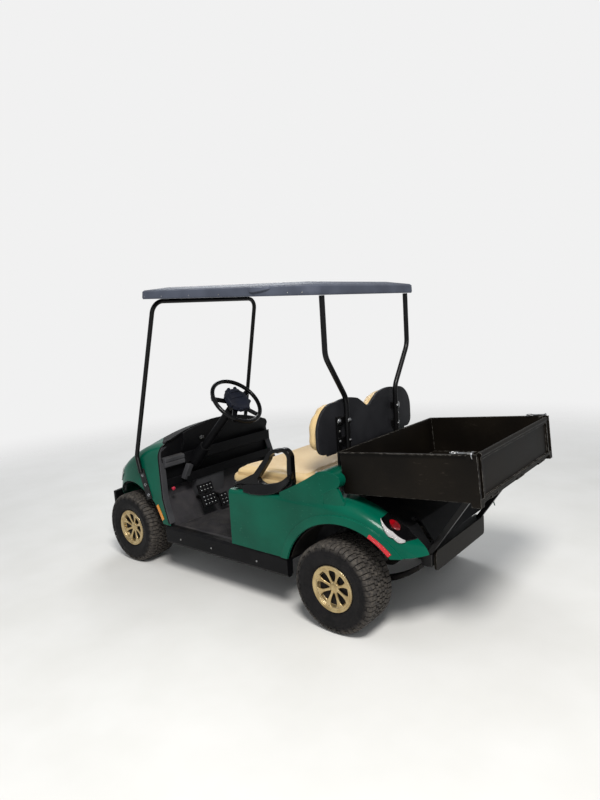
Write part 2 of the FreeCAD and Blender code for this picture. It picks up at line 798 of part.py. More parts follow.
def dash():
    """The dash with its open shelf and lower bin, fitted inside the cowl's mouth."""
    outline = (
        (-270, FLOOR_TOP[1] + size.panel_gap),
        (-270, 1000),
        (-335, 1000),
        (-360, 850),
        (-308, 716),
        (-487, 762),
        (-520, 721),
        (-308, 645),
        (-298, 570),
        (-440, 614),
        (-541, 587),
        (-535, 556),
    )
    inside = panel_loft(cowl_sections(), -size.body_wall - size.panel_gap, size.cowl_bottom)
    shape = prism(outline, "front_xz", -488, 488).common(inside)
    centre, axis = steering_axis()
    hood = rod(centre + axis * 430, centre + axis * 640, size.column_diameter + 36)
    shape = joined(shape, hood).common(inside)
    bore = rod(centre + axis * 400, centre + axis * 800, size.column_diameter + 2 * size.panel_gap)
    feature("dash", shape.cut(bore))


def steering_column():
    centre, axis = steering_axis()
    column = doc.addObject("Part::Cylinder", "steering_column")
    bind(column, Radius="Dimensions.column_diameter / 2", Height="Dimensions.column_length")
    column.Placement = Placement(
        centre + axis * size.column_start, Rotation(Vector(0, 0, 1), axis)
    )
    finished("steering_column", column)


def steering_wheel():
    """Rim, four spokes and the hub pad, with the shaft that reaches the column."""
    centre, axis = steering_axis()
    ring = Part.makeTorus(size.wheel_rim_radius, size.wheel_rim_diameter / 2)
    hub = Part.makeCylinder(52, 34, Vector(0, 0, -38))
    pad = Part.makeBox(96, 120, 16, Vector(-48, -60, -8))
    shaft = Part.makeCylinder(20, size.column_start - 30 - size.panel_gap, Vector(0, 0, size.panel_gap - size.column_start))
    spokes = []
    for angle in (68, -68, 140, -140):
        spoke = Part.makeBox(size.wheel_rim_radius - 30, 30, 9, Vector(34, -15, -20))
        rise = Part.makeBox(16, 30, 22, Vector(size.wheel_rim_radius - 12, -15, -20))
        arm = spoke.fuse(rise)
        arm.rotate(Vector(0, 0, 0), Vector(0, 0, 1), angle)
        spokes.append(arm)
    wheel = joined(ring, hub, pad, shaft, *spokes)
    wheel.Placement = Placement(centre, Rotation(Vector(0, 0, -1), axis))
    feature("steering_wheel", wheel)


def pedals():
    """The brake pedal with its parking pad, and the drive pedal, on arms from the toe board."""
    rows = (
        # middle, half width, side views of the plates and of the arm behind them
        (
            235,
            60,
            (
                ((-455, 362), (-425, 440), (-417, 437), (-447, 359)),
                ((-421, 449), (-401, 505), (-393, 502), (-413, 446)),
            ),
            ((-440, 384), (-401, 490), (-393, 487), (-420, 412), (-322, 410), (-318, 397)),
        ),
        (
            112,
            36,
            (((-462, 332), (-432, 412), (-424, 409), (-454, 329)),),
            ((-446, 358), (-431, 398), (-322, 410), (-318, 397)),
        ),
    )
    shapes = []
    for y, half_width, plates, arm in rows:
        pads = [prism(plate, "front_xz", y - half_width, y + half_width) for plate in plates]
        shapes.append(joined(prism(arm, "front_xz", y - 9, y + 9), *pads))
    feature("pedals", Part.makeCompound(shapes))


def front_bumper():
    """A bowed bumper bar in front of the nose."""
    x = front_reach
    thick = 22
    bow = 60
    half = 450
    outline = (
        (x - bow - thick, half),
        (x - thick, 0, x - bow - thick, -half),
        (x - bow, -half),
        (x, 0, x - bow, half),
    )
    bar = prism(outline, "xy", 292, 412)
    stays = [
        block(size.wheelbase + size.frame_nose_reach + size.panel_gap, x - thick - 2, y - 25, y + 25, 262, 308)
        for y in (-150, 150)
    ]
    feature("front_bumper", joined(bar, *stays))


def rear_bumper():
    x = -size.frame_rear_reach - size.panel_gap
    outline = (
        (-290, 380),
        (-284, 394, -270, 400),
        (270, 400),
        (284, 394, 290, 380),
        (290, 320),
        (284, 306, 270, 300),
        (-270, 300),
        (-284, 306, -290, 320),
    )
    feature("rear_bumper", prism(outline, "yz", x - 12, x))


def front_strut_frame():
    """One bent tube from foot to foot over the canopy's front, with its feet on the cowl."""
    bar_x = size.wheelbase + size.canopy_bar
    under = size.canopy_rear_z + (bar_x - size.canopy_rear) * math.tan(math.radians(size.canopy_tilt))
    top = under - size.strut_diameter / 2 - size.panel_gap
    half = ((-122, 516, 610), (-78, 503, 716), (size.canopy_bar, 453, top))
    points = [at(size.wheelbase + x, y, z) for x, y, z in half]
    points += [at(size.wheelbase + x, -y, z) for x, y, z in reversed(half)]
    tube = bent_rod(points, (45, 75, 75, 45), size.strut_diameter)
    strap_outline = ((-238, 462), (-192, 446), (-100, 606), (-140, 640))
    outside = panel_loft(cowl_sections(), 8, size.cowl_bottom)
    inside = panel_loft(cowl_sections(), size.panel_gap, size.cowl_bottom)
    straps = [
        outside.common(prism(strap_outline, "front_xz", y0, y1)).cut(inside)
        for y0, y1 in ((300, 700), (-700, -300))
    ]
    frame_tube = tube.cut(inside)
    feature("front_strut_frame", joined(frame_tube, *straps))


def rear_struts():
    """Two struts from the frame, past the seat back, to the canopy's rear."""
    x = size.rear_strut_x
    foot = size.frame_high_z + size.rail_height + 40 + size.panel_gap
    under = size.canopy_rear_z + (x - size.canopy_rear) * math.tan(math.radians(size.canopy_tilt))
    low, top = size.rear_strut_low_offset, size.rear_strut_top_offset
    points = [at(x, low, foot), at(x, low, 1115), at(x, top, 1345), at(x, top, under - 2)]
    tube = bent_rod(points, (110, 110), size.strut_diameter)
    feature("rear_struts", Part.makeCompound(list(both_sides(tube))))


def canopy():
    """A moulded roof like a shallow tray turned over, with a rib above each cross bar."""
    x0, x1, half = size.canopy_rear, size.wheelbase + size.canopy_front, size.canopy_half_width
    bar_x = size.wheelbase + size.canopy_bar
    corner, wall = size.canopy_corner, size.canopy_wall
    edge, rise = size.canopy_edge_height, size.canopy_rise
    rows = (
        # inset from the outer edge, height above the lower edge
        (4, 0),
        (0, 10),
        (3, edge - 8),
        (14, edge),
        (130, edge + rise),
    )

    def tray(shrink, drop):
        wires = []
        for inset, height in rows:
            low = inset + shrink
            z = size.canopy_rear_z + height - drop
            wires.append(rounded_rectangle(x0 + low, x1 - low, half - low, max(corner - low, 8), z))
        return Part.makeLoft(wires, True, True)

    low_z, high_z = size.canopy_rear_z, size.canopy_rear_z + 2 * edge
    ribs = [
        block(bar_x - 20, bar_x + 20, -half, half, low_z, high_z),
        block(x0, x0 + 42, -half, half, low_z, high_z),
    ]
    roof = tray(0, 0).cut(tray(wall, wall).cut(ribs))
    roof.rotate(at(x0, 0, size.canopy_rear_z), Vector(0, -1, 0), size.canopy_tilt)
    feature("canopy", roof)


def in_bed(shape):
    """Tips a shape that was built level about the cargo box's front lower edge."""
    shape.rotate(at(size.bed_front, 0, size.bed_front_z), Vector(0, 1, 0), size.bed_tilt)
    return shape


def cargo_box():
    """Floor, front and side walls with a folded lip, and the rear corner channels."""
    x1 = size.bed_front
    x0 = x1 - size.bed_length
    half, wall, lip = size.bed_half_width, size.bed_wall, size.bed_lip
    z0, z1 = size.bed_front_z, size.bed_front_z + size.bed_depth
    outer = block(x0, x1, -half, half, z0, z1)
    rim_band = block(x0, x1 + lip - wall, -half - lip + wall, half + lip - wall, z1 - wall, z1)
    inner = block(x0 - 1, x1 - wall, wall - half, half - wall, z0 + wall, z1 + 1)
    tub = joined(outer, rim_band).cut(inner)
    post = block(x0 - size.bed_post_width, x0, half - 36, half, z0 - 20, z1)
    channel = block(x0 - size.bed_post_width - 1, x0 - 8, half - 37, half - wall, z0 + 16, z1 + 1)
    ledge = block(x0 - 20, x0, 36 - half, half - 36, z0 - 20, z0 + wall)
    box = joined(tub, *both_sides(post), ledge).cut(list(both_sides(channel)))
    hinge_x, hinge_z = gate_hinge()
    round_part = size.gate_hinge_diameter
    for y in GATE_HINGES:
        barrel = rod(at(hinge_x, y, hinge_z), at(hinge_x, y + 40, hinge_z), round_part)
        leaf = block(hinge_x, x0 - 20, y, y + 40, hinge_z - round_part / 2, hinge_z - 1)
        box = joined(box, barrel, leaf)
    feature("cargo_box", in_bed(box))


GATE_HINGES = (-330, -20, 290)


def gate_hinge():
    """The tailgate's hinge axis, before the cargo box is tipped."""
    x = size.bed_front - size.bed_length - size.bed_post_width + size.gate_thickness / 2
    return x, size.bed_front_z - size.gate_hinge_drop


def bed_supports():
    """Rails and a cross channel under the cargo box, two posts and two rear braces."""
    gap = size.panel_gap
    x1, z0 = size.bed_front, size.bed_front_z - gap
    tall = size.bed_rail_height
    rail_y = size.bed_rail_offset
    rails = [
        block(x1 - size.bed_length + 20, x1 - 20, s * rail_y - 18, s * rail_y + 18, z0 - tall, z0)
        for s in (-1, 1)
    ]
    cross = block(x1 - 70, x1 - 28, -400, 400, z0 - tall, z0)
    carriage = in_bed(joined(cross, *rails))
    deck_top = size.frame_high_z + size.rail_height
    posts = [block(-95, -65, s * 175 - 14, s * 175 + 14, deck_top + 20 + gap, 668) for s in (-1, 1)]
    braces = [
        prism(((-398, deck_top + gap), (-368, deck_top + gap), (-588, 708), (-618, 708)), "xz", s * rail_y - 12, s * rail_y + 12)
        for s in (-1, 1)
    ]
    feature("bed_supports", joined(carriage, *posts, *braces))


def tailgate():
    """The hinged rear panel of the cargo box, with the round bar along its top."""
    clear, thick = size.gate_clearance, size.gate_thickness
    half = size.bed_half_width - 36 - clear
    z0, z1 = size.bed_front_z, size.bed_front_z + size.bed_depth
    hinge_x, hinge_z = gate_hinge()
    rear_x = hinge_x - thick / 2
    panel = block(rear_x, rear_x + thick, -half, half, z0 + clear, z1 - 14)
    recess = block(rear_x - 1, rear_x + thick - 3, 14 - half, half - 14, z0 + clear + 14, z1 - 30)
    bar_z = z1 - size.gate_bar_diameter / 2
    bar = rod(at(hinge_x, -half, bar_z), at(hinge_x, half, bar_z), size.gate_bar_diameter)
    gate = joined(panel.cut(recess), bar)
    round_part = size.gate_hinge_diameter
    for y in GATE_HINGES:
        for start, end in ((y - 26, y - size.panel_gap), (y + 40 + size.panel_gap, y + 66)):
            barrel = rod(at(hinge_x, start, hinge_z), at(hinge_x, end, hinge_z), round_part)
            leaf = block(rear_x, hinge_x, start, end, hinge_z, z0 + clear)
            gate = joined(gate, barrel, leaf)
    feature("tailgate", in_bed(gate))


def seat():
    """The hinged seat: a moulded pan on four feet, and its cushion."""
    gap = size.panel_gap
    x0, x1, half = size.seat_rear, size.seat_front, size.seat_half_width
    z0 = size.seat_pan_z
    z1 = z0 + size.seat_pan_thickness
    pan = block(x0, x1 - 14, 10 - half, half - 10, z0, z1)
    feet = [
        rod(at(x, y, z0 - 30), at(x, y, z0), 30)
        for x in (260, 655)
        for y in (-452, 452)
    ]
    pod = panel_loft(rear_sections(), gap, size.pod_bottom)
    pan = joined(pan, *[foot.cut(pod) for foot in feet])
    for y in SEAT_HINGES:
        pan = pan.cut(block(x0 - 1, x0 + 10, y - gap, y + 40 + gap, z0 - 1, z1 + 1))
        for start, end in ((y - 30, y - gap), (y + 40 + gap, y + 70)):
            pan = joined(pan, rod(at(x0, start, z0), at(x0, end, z0), size.seat_hinge_diameter))
    feature("seat_pan", pan)
    cushion = doc.addObject("Part::Box", "seat_cushion_block")
    bind(
        cushion,
        Length="Dimensions.seat_front - Dimensions.seat_rear",
        Width="2 * Dimensions.seat_half_width",
        Height="Dimensions.seat_cushion_height",
    )
    cushion.Placement = Placement(at(x0, -half, z1 + gap), Rotation())
    doc.recompute()
    rounded = doc.addObject("Part::Fillet", "seat_cushion")
    rounded.Base = cushion
    rounded.Edges = [(index, 18.0, 18.0) for index in range(1, 13)]
    cushion.Visibility = False
    finished("seat_cushion", rounded)


def back_outline(inset):
    """The seat back's outline, seen from behind, with two humps and a dip between them."""
    half = size.back_half_width - inset
    low, top, dip = size.back_bottom + inset, size.back_top - inset, size.back_dip - inset
    right = (
        (half - 60, low),
        (half - 16, low + 14, half, low + 60),
        (half, low + 120),
        (half - 40, top - 50, half - 165, top - 6),
        (half - 262, top + 4, 100, top - 12),
        (55, dip + 24, 26, dip + 4),
    )
    left = (
        (0, dip - 4, -26, dip + 4),
        (-55, dip + 24, -100, top - 12),
        (262 - half, top + 4, 165 - half, top - 6),
        (40 - half, top - 50, -half, low + 120),
        (-half, low + 60),
        (16 - half, low + 14, 60 - half, low),
    )
    return right + left


def seat_back():
    """The seat back: its black shell, the cushion in front and the bars that hold it."""
    gap = size.panel_gap
    x = size.back_shell_x
    front = x + size.back_shell_thickness
    feature("seat_back_shell", prism(back_outline(0), "yz", x, front))
    cushion = prism(back_outline(8), "yz", front + gap, front + gap + size.back_cushion_thickness)
    feature("seat_back_cushion", cushion)
    strut_face = size.rear_strut_x + size.strut_diameter / 2
    bar_x0, bar_x1 = strut_face + gap, x - gap
    y = size.back_bar_offset
    bar = block(bar_x0 + 3, bar_x1, y - 16, y + 16, 656 + gap, 1025)
    straps = [
        block(bar_x0, bar_x1, size.rear_strut_low_offset - 12, y + 16, z - 18, z + 18)
        for z in (895, 1000)
    ]
    feature("seat_back_bars", Part.makeCompound(list(both_sides(joined(bar, *straps)))))


def hip_restraints():
    """A moulded loop at each end of the seat, with its foot on the pod's edge."""
    outside = (
        (669, 640),
        (682, 652, 664, 664),
        (526, 730),
        (427, 837),
        (385, 872, 338, 881),
        (282, 880, 258, 845),
        (258, 735),
        (262, 690, 300, 655),
        (330, 630),
        (600, 625),
    )
    opening = (
        (500, 704),
        (410, 816),
        (385, 851, 345, 857),
        (300, 862, 286, 823),
        (290, 765),
        (304, 712, 360, 690),
        (430, 674, 492, 690),
    )
    loop = prism(outside, "xz", 492, 528).cut(prism(opening, "xz", 480, 540))
    panel = panel_loft(rear_sections(), size.panel_gap, size.pod_bottom)
    pod = joined(panel, prism(rear_shoulder(size.panel_gap), "xz", 480, 600))
    feature("hip_restraints", Part.makeCompound(list(both_sides(loop.cut(pod)))))


def skin(sections, outline, plane, low, high, base, top, bottom):
    """A piece between two offsets of a body panel's surface, inside an outline."""
    over = panel_loft(sections, top, bottom)
    under = panel_loft(sections, base, bottom)
    return over.common(prism(outline, plane, low, high)).cut(under)


def lamps():
    """Head lamps, tail lamps with their housings, and reflectors that follow the body's surface."""
    rear, front = rear_sections(), cowl_sections()
    gap = size.panel_gap
    recess = (
        (-228, 404),
        (-236, 492),
        (-262, 505, -290, 508),
        (-326, 503, -354, 479),
        (-372, 440, -378, 404),
    )
    lens = (
        (-240, 496),
        (-272, 520, -312, 512),
        (-340, 502, -358, 481),
        (-334, 496, -305, 502),
        (-270, 508, -238, 488),
    )
    round_lamp = ((-317, 458, -293, 482), (-269, 458, -293, 434))
    centre = (size.rear_arch_x, size.rear_arch_z)
    near, far = size.rear_arch_radius + 4, size.rear_arch_radius + 22
    marker = (
        polar(centre, near, 118),
        polar(centre, near, 128) + polar(centre, near, 139),
        polar(centre, far, 139),
        polar(centre, far, 128) + polar(centre, far, 118),
    )
    head = ((160, 560), (200, 610), (270, 545), (265, 490), (210, 500))
    amber = ((-350, 338), (-284, 420), (-299, 432), (-366, 351))
    proud = ARCH_BAND[2]
    rows = (
        # node, sections, outline, its plane, inner and outer end, offsets of its two faces
        ("tail_housings", rear, recess, "xy", 400, 900, gap, 4),
        ("tail_lenses", rear, lens, "xy", 400, 900, 4 + gap, 10),
        ("tail_lamps", rear, round_lamp, "xy", 400, 900, 4 + gap, 14),
        ("rear_reflectors", rear, marker, "xz", 440, 700, proud + gap, proud + 3),
        ("head_lamps", front, head, "front_xz", 230, 700, gap, 6),
        ("front_reflectors", front, amber, "front_xz", 400, 700, gap, 4),
    )
    for name, sections, outline, plane, low, high, base, top in rows:
        bottom = size.pod_bottom if sections is rear else size.cowl_bottom
        piece = skin(sections, outline, plane, low, high, base, top, bottom)
        feature(name, Part.makeCompound(list(both_sides(piece))))


frame()
battery_pack()
rear_axle()
rear_suspension()
front_suspension()
knuckles()
steering_rack()
wheel_bodies()
floor()
sills()
rear_body()
rear_deck()
front_cowl()
dash()
steering_column()
steering_wheel()
pedals()
front_bumper()
rear_bumper()
front_strut_frame()
rear_struts()
canopy()
cargo_box()
bed_supports()
tailgate()
seat()
seat_back()
hip_restraints()
lamps()

doc.recompute()
for item in doc.Objects:
    if "Invalid" in item.State or "Error" in item.State:
        raise RuntimeError(f"{item.Label} did not build: {item.State}")
os.makedirs("parts", exist_ok=True)
for part in parts:
    if part.Shape.isNull() or not part.Shape.isValid():
        raise RuntimeError(f"{part.Label} has no valid shape")
for part in parts:
    part.Shape.exportStep(f"parts/{part.Label}.step")
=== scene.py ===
import json
import math

import bmesh
import bpy
from mathutils import Matrix, Vector
from mathutils.bvhtree import BVHTree

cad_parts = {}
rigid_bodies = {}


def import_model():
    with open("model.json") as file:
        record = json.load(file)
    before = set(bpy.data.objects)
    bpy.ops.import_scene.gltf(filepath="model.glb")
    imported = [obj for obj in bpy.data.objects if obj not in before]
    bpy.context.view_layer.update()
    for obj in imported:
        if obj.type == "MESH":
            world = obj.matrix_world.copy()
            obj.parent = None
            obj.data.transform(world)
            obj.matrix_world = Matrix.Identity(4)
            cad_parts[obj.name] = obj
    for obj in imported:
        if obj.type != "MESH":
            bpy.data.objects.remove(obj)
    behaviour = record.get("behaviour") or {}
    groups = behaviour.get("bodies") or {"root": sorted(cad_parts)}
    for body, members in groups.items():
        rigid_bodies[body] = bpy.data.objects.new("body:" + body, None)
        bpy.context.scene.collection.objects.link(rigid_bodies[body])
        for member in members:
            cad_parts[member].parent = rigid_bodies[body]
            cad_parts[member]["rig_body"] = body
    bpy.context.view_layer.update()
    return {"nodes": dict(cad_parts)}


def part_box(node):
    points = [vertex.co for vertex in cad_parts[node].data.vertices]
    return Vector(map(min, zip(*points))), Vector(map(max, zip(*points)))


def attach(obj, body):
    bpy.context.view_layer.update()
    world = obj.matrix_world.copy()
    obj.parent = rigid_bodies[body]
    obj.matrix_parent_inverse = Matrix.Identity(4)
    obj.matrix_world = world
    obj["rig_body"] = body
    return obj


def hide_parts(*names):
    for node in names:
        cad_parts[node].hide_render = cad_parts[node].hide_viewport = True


# Looks of a two-seat golf cart with a cargo box. +X is forward, +Y is the cart's left side and +Z
# is up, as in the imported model. Lengths are in metres, apart from the millimetres that at(),
# in_bed(), spot(), turned(), add_lug() and loft_both() take.

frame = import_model()
nodes = frame["nodes"]
SIDES = {"left": 1, "right": -1}


def middle(node):
    """The middle of a CAD node's box."""
    low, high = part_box(node)
    return (low + high) / 2


rear_axle = middle("rim_rear_left")


def at(x, y, z):
    """A point from millimetres ahead of the rear axle, to the cart's left and above the ground."""
    return Vector((rear_axle.x + x / 1000, y / 1000, z / 1000))


def new_object(name, data, place=None):
    """An object of the scene around its mesh, camera or light."""
    obj = bpy.data.objects.new(name, data)
    bpy.context.scene.collection.objects.link(obj)
    if place is not None:
        obj.matrix_world = place
    return obj


# Camera and light

PHOTO_PLACE = (-2.34048, 2.78089, 1.55557)
PHOTO_TURN = (-50.646, -8.035, -3.657)
PHOTO_LENS = 27.04


def photo_camera():
    """The photograph's camera: its place, its yaw, pitch and roll, and its lens."""
    yaw, pitch, roll = (math.radians(angle) for angle in PHOTO_TURN)
    flat = math.cos(pitch)
    ahead = Vector((math.cos(yaw) * flat, math.sin(yaw) * flat, math.sin(pitch)))
    level = Vector((math.sin(yaw), -math.cos(yaw), 0))
    up = level.cross(ahead)
    right = math.cos(roll) * level + math.sin(roll) * up
    above = math.cos(roll) * up - math.sin(roll) * level
    data = bpy.data.cameras.new("photo_camera")
    data.lens = PHOTO_LENS
    place = Matrix.Translation(PHOTO_PLACE) @ along_axes(right, above, -ahead)
    bpy.context.scene.camera = new_object("photo_camera", data, place)


def soft_light(name, place, target, width, watts, colour):
    """A round area light that looks at a target."""
    data = bpy.data.lights.new(name, "AREA")
    data.shape = "DISK"
    data.size = width
    data.energy = watts
    data.color = colour
    aim = (Vector(target) - Vector(place)).to_track_quat("-Z", "Y")
    new_object(name, data, Matrix.Translation(place) @ aim.to_matrix().to_4x4())


# Materials


def rgb(red, green, blue):
    """A colour from the values it has on a screen, 0 to 255."""
    parts = [c / 255 for c in (red, green, blue)]
    linear = [c / 12.92 if c <= 0.04045 else ((c + 0.055) / 1.055) ** 2.4 for c in parts]
    return (*linear, 1)


class Value:
    """A shader socket in an expression; each operator adds a Math node."""

    def __init__(self, finish, socket):
        self.finish = finish
        self.socket = socket

    def math(self, operation, *terms):
        settings = {"operation": operation}
        return self.finish.add("ShaderNodeMath", "Value", settings, dict(enumerate(terms)))

    def __add__(self, other):
        return self.math("ADD", self, other)

    def __sub__(self, other):
        return self.math("SUBTRACT", self, other)

    def __rsub__(self, other):
        return self.math("SUBTRACT", other, self)

    def __mul__(self, other):
        return self.math("MULTIPLY", self, other)

    __radd__ = __add__
    __rmul__ = __mul__

    def between(self, low, high):
        """0 below low, 1 above high, smooth between them."""
        settings = {"interpolation_type": "SMOOTHSTEP"}
        sockets = {"Value": self, "From Min": low, "From Max": high}
        return self.finish.add("ShaderNodeMapRange", "Result", settings, sockets)


class Finish:
    """A material under construction."""

    def __init__(self, name, tree=None):
        if tree is None:
            self.material = bpy.data.materials.new(name)
            self.material.use_nodes = True
            tree = self.material.node_tree
        self.tree = tree
        self.tree.nodes.clear()

    def add(self, kind, out, settings=None, sockets=None):
        """A node of any kind: its settings first, then the values or links of its sockets."""
        node = self.tree.nodes.new(kind)
        for name, value in (settings or {}).items():
            setattr(node, name, value)
        for key, value in (sockets or {}).items():
            if isinstance(key, int):
                socket = node.inputs[key]
            else:
                socket = next(s for s in node.inputs if key in (s.identifier, s.name))
            if isinstance(value, Value):
                self.tree.links.new(value.socket, socket)
            else:
                socket.default_value = value
        if out is None:
            return node
        return Value(self, next(s for s in node.outputs if out in (s.identifier, s.name)))

    def place(self, scale=(1, 1, 1), turn=(0, 0, 0)):
        """The object's own coordinates, stretched and turned for a pattern."""
        own = self.add("ShaderNodeTexCoord", "Object")
        sockets = {"Vector": own, "Scale": scale, "Rotation": turn}
        return self.add("ShaderNodeMapping", "Vector", None, sockets)

    def noise(self, where, scale, detail=3.0, rough=0.5):
        sockets = {"Vector": where, "Scale": scale, "Detail": detail, "Roughness": rough}
        return self.add("ShaderNodeTexNoise", "Fac", None, sockets)

    def mix(self, first, second, factor):
        """A blend of two colours; those given as numbers have the values of rgb."""
        first, second = (c if isinstance(c, Value) else rgb(*c) for c in (first, second))
        sockets = {"Factor_Float": factor, "A_Color": first, "B_Color": second}
        return self.add("ShaderNodeMix", "Result_Color", {"data_type": "RGBA"}, sockets)

    def bump(self, height, distance, strength=1.0, normal=None):
        sockets = {"Height": height, "Distance": distance, "Strength": strength}
        if normal is not None:
            sockets["Normal"] = normal
        return self.add("ShaderNodeBump", "Normal", None, sockets)

    def attribute(self, name):
        return self.add("ShaderNodeAttribute", "Fac", {"attribute_name": name})

    def upward(self):
        """How far the surface faces up, from 0 to 1."""
        normal = self.add("ShaderNodeTexCoord", "Normal")
        return self.add("ShaderNodeSeparateXYZ", "Z", None, {"Vector": normal})

    def rounded(self, radius):
        """The normal with its edges rounded, and how near an edge is."""
        soft = self.add("ShaderNodeBevel", "Normal", {"samples": 6}, {"Radius": radius})
        flat = self.add("ShaderNodeNewGeometry", "Normal")
        settings = {"operation": "DOT_PRODUCT"}
        along = self.add("ShaderNodeVectorMath", "Value", settings, {0: soft, 1: flat})
        return soft, (1 - along).between(0.01, 0.16)

    def close(self, **sockets):
        """Ends the material in one Principled shader."""
        named = {key.replace("_", " "): value for key, value in sockets.items()}
        shader = self.add("ShaderNodeBsdfPrincipled", "BSDF", None, named)
        self.add("ShaderNodeOutputMaterial", None, None, {"Surface": shader})
        return self.material


def coated(
    name, colour, tint, rough, grain, depth, shine=0.3, coat=0.0, metal=0.0, dust=0.2, edge_wear_and_highlight=0.3,
    worn=None, scratches=0.25, scratched=None, mottle=7.0, rounding=0.002,
):
    """A moulded or painted surface: tone, grain, scratches, dust on top and lighter edges, partly
    wear and, on the cargo box, partly a painted highlight.
    """
    f = Finish(name)
    where = f.place()
    broad = f.noise(where, mottle, 5)
    base = f.mix(colour, tint, broad.between(0.3, 0.7))
    soft, edge = f.rounded(rounding)
    fine = f.noise(where, grain, 2)
    line = f.noise(f.place((3, 90, 14), (0.3, 0.2, 0.5)), 9, 2)
    scratch = line.between(0.66, 0.74) * broad.between(0.45, 0.6) * scratches
    base = f.mix(base, scratched or tint, scratch)
    patches = f.noise(where, 16, 6, 0.65).between(0.35, 0.8)
    dusty = f.upward().between(0.3, 0.95) * patches * dust
    base = f.mix(base, (128, 122, 110), dusty)
    # Edges turn towards the worn colour: wear, and on the cargo box also a painted highlight along
    # its rims.
    rubbed_and_lit_edge = edge * f.noise(where, 55, 3).between(0.38, 0.62) * edge_wear_and_highlight
    base = f.mix(base, worn or tint, rubbed_and_lit_edge)
    height = fine * 0.7 + f.noise(where, grain * 0.22, 2) * 0.6
    return f.close(
        Base_Color=base,
        Roughness=rough + broad * 0.1 + dusty * 0.4 + scratch * 0.3 - rubbed_and_lit_edge * 0.1,
        Metallic=metal,
        Specular_IOR_Level=shine,
        Coat_Weight=coat,
        Coat_Roughness=0.06,
        Normal=f.bump(height, depth, 1.0, soft),
    )


COATED = {
    # finish: colour, second tone, roughness, grain in waves per metre, its depth, and the rest
    "green_body": (
        (0, 88, 68), (0, 72, 55), 0.2, 120, 0.0001,
        dict(coat=0.12, shine=0.1, dust=0.02, edge_wear_and_highlight=0.25, worn=(40, 130, 106), scratches=0.3,
             scratched=(40, 118, 96), mottle=3.5, rounding=0.005),
    ),
    "black_plastic": (
        (10, 10, 12), (17, 17, 19), 0.45, 900, 0.0006,
        dict(shine=0.1, dust=0.06, edge_wear_and_highlight=0.4, worn=(64, 64, 68), scratched=(52, 52, 56),
             rounding=0.003),
    ),
    "gloss_black": (
        (6, 6, 7), (11, 11, 13), 0.2, 500, 0.0002,
        dict(coat=0.15, shine=0.12, dust=0.02, edge_wear_and_highlight=0.2, worn=(48, 48, 52), rounding=0.006),
    ),
    # The canopy's charcoal and its second tone are lifted towards blue-grey: partly the plastic's
    # own grey, partly a painted reflection of the sky.
    "canopy_plastic": (
        (68, 72, 84), (80, 85, 98), 0.55, 300, 0.0003,
        dict(shine=0.2, dust=0.1, edge_wear_and_highlight=0.4, worn=(112, 116, 128), scratched=(104, 108, 120),
             rounding=0.004),
    ),
    "black_frame": (
        (8, 8, 9), (14, 13, 14), 0.32, 260, 0.0003,
        dict(coat=0.1, shine=0.18, dust=0.05, edge_wear_and_highlight=0.4, worn=(80, 76, 74), rounding=0.0015),
    ),
    # The box's strong pale edges are partly worn paint and partly a painted highlight along its top
    # rim.
    "box_steel": (
        (14, 11, 8), (22, 18, 13), 0.42, 520, 0.0008,
        dict(shine=0.1, dust=0.04, edge_wear_and_highlight=0.9, worn=(150, 146, 140), scratches=0.4,
             scratched=(62, 56, 50), mottle=5.0, rounding=0.0025),
    ),
    "running_gear": (
        (16, 15, 15), (36, 32, 28), 0.6, 300, 0.0012,
        dict(shine=0.2, dust=0.3, edge_wear_and_highlight=0.4, worn=(84, 74, 64), mottle=14.0),
    ),
    "battery_case": (
        (38, 39, 42), (52, 52, 54), 0.5, 400, 0.0006,
        dict(dust=0.3),
    ),
    "floor_rubber": (
        (44, 43, 46), (56, 54, 57), 0.62, 700, 0.0008,
        dict(shine=0.2, edge_wear_and_highlight=0.4, worn=(92, 88, 88), mottle=12.0),
    ),
    "shelf_grey": (
        (54, 54, 57), (68, 68, 71), 0.5, 800, 0.0009,
        dict(shine=0.25, dust=0.15, edge_wear_and_highlight=0.4, worn=(100, 100, 104), rounding=0.003),
    ),
    "shell_grey": (
        (27, 27, 30), (38, 38, 41), 0.5, 900, 0.0009,
        dict(shine=0.15, dust=0.05, edge_wear_and_highlight=0.5, worn=(96, 96, 100), scratches=0.4,
             scratched=(66, 66, 70), rounding=0.004),
    ),
    "hub_padding": (
        (12, 16, 28), (20, 24, 38), 0.5, 700, 0.0005,
        dict(shine=0.2, dust=0.08, worn=(50, 54, 66), rounding=0.003),
    ),
    "zinc": (
        (176, 178, 182), (132, 130, 126), 0.26, 300, 0.0002,
        dict(metal=1.0, rounding=0.001, mottle=60.0),
    ),
    "red_knob": (
        (186, 40, 66), (156, 28, 52), 0.3, 300, 0.0002,
        dict(coat=0.3),
    ),
}


def gold_alloy():
    """Gold coat on cast alloy: flakes, dark grime in random patches and bright turned edges."""
    f = Finish("gold_alloy")
    where = f.place()
    soft, edge = f.rounded(0.0025)
    flake = f.noise(where, 1400, 1)
    tone = f.mix((198, 176, 130), (166, 142, 98), f.noise(where, 26, 4).between(0.35, 0.7))
    tone = f.mix(tone, (240, 226, 192), edge * 0.8)
    grime = f.noise(where, 70, 5).between(0.55, 0.8) * 0.35
    base = f.mix(tone, (74, 62, 46), grime)
    return f.close(
        Base_Color=base,
        Metallic=0.8 - grime * 0.7,
        Roughness=0.24 + flake * 0.12 + grime * 0.5,
        Normal=f.bump(flake, 0.00015, 1.0, soft),
    )


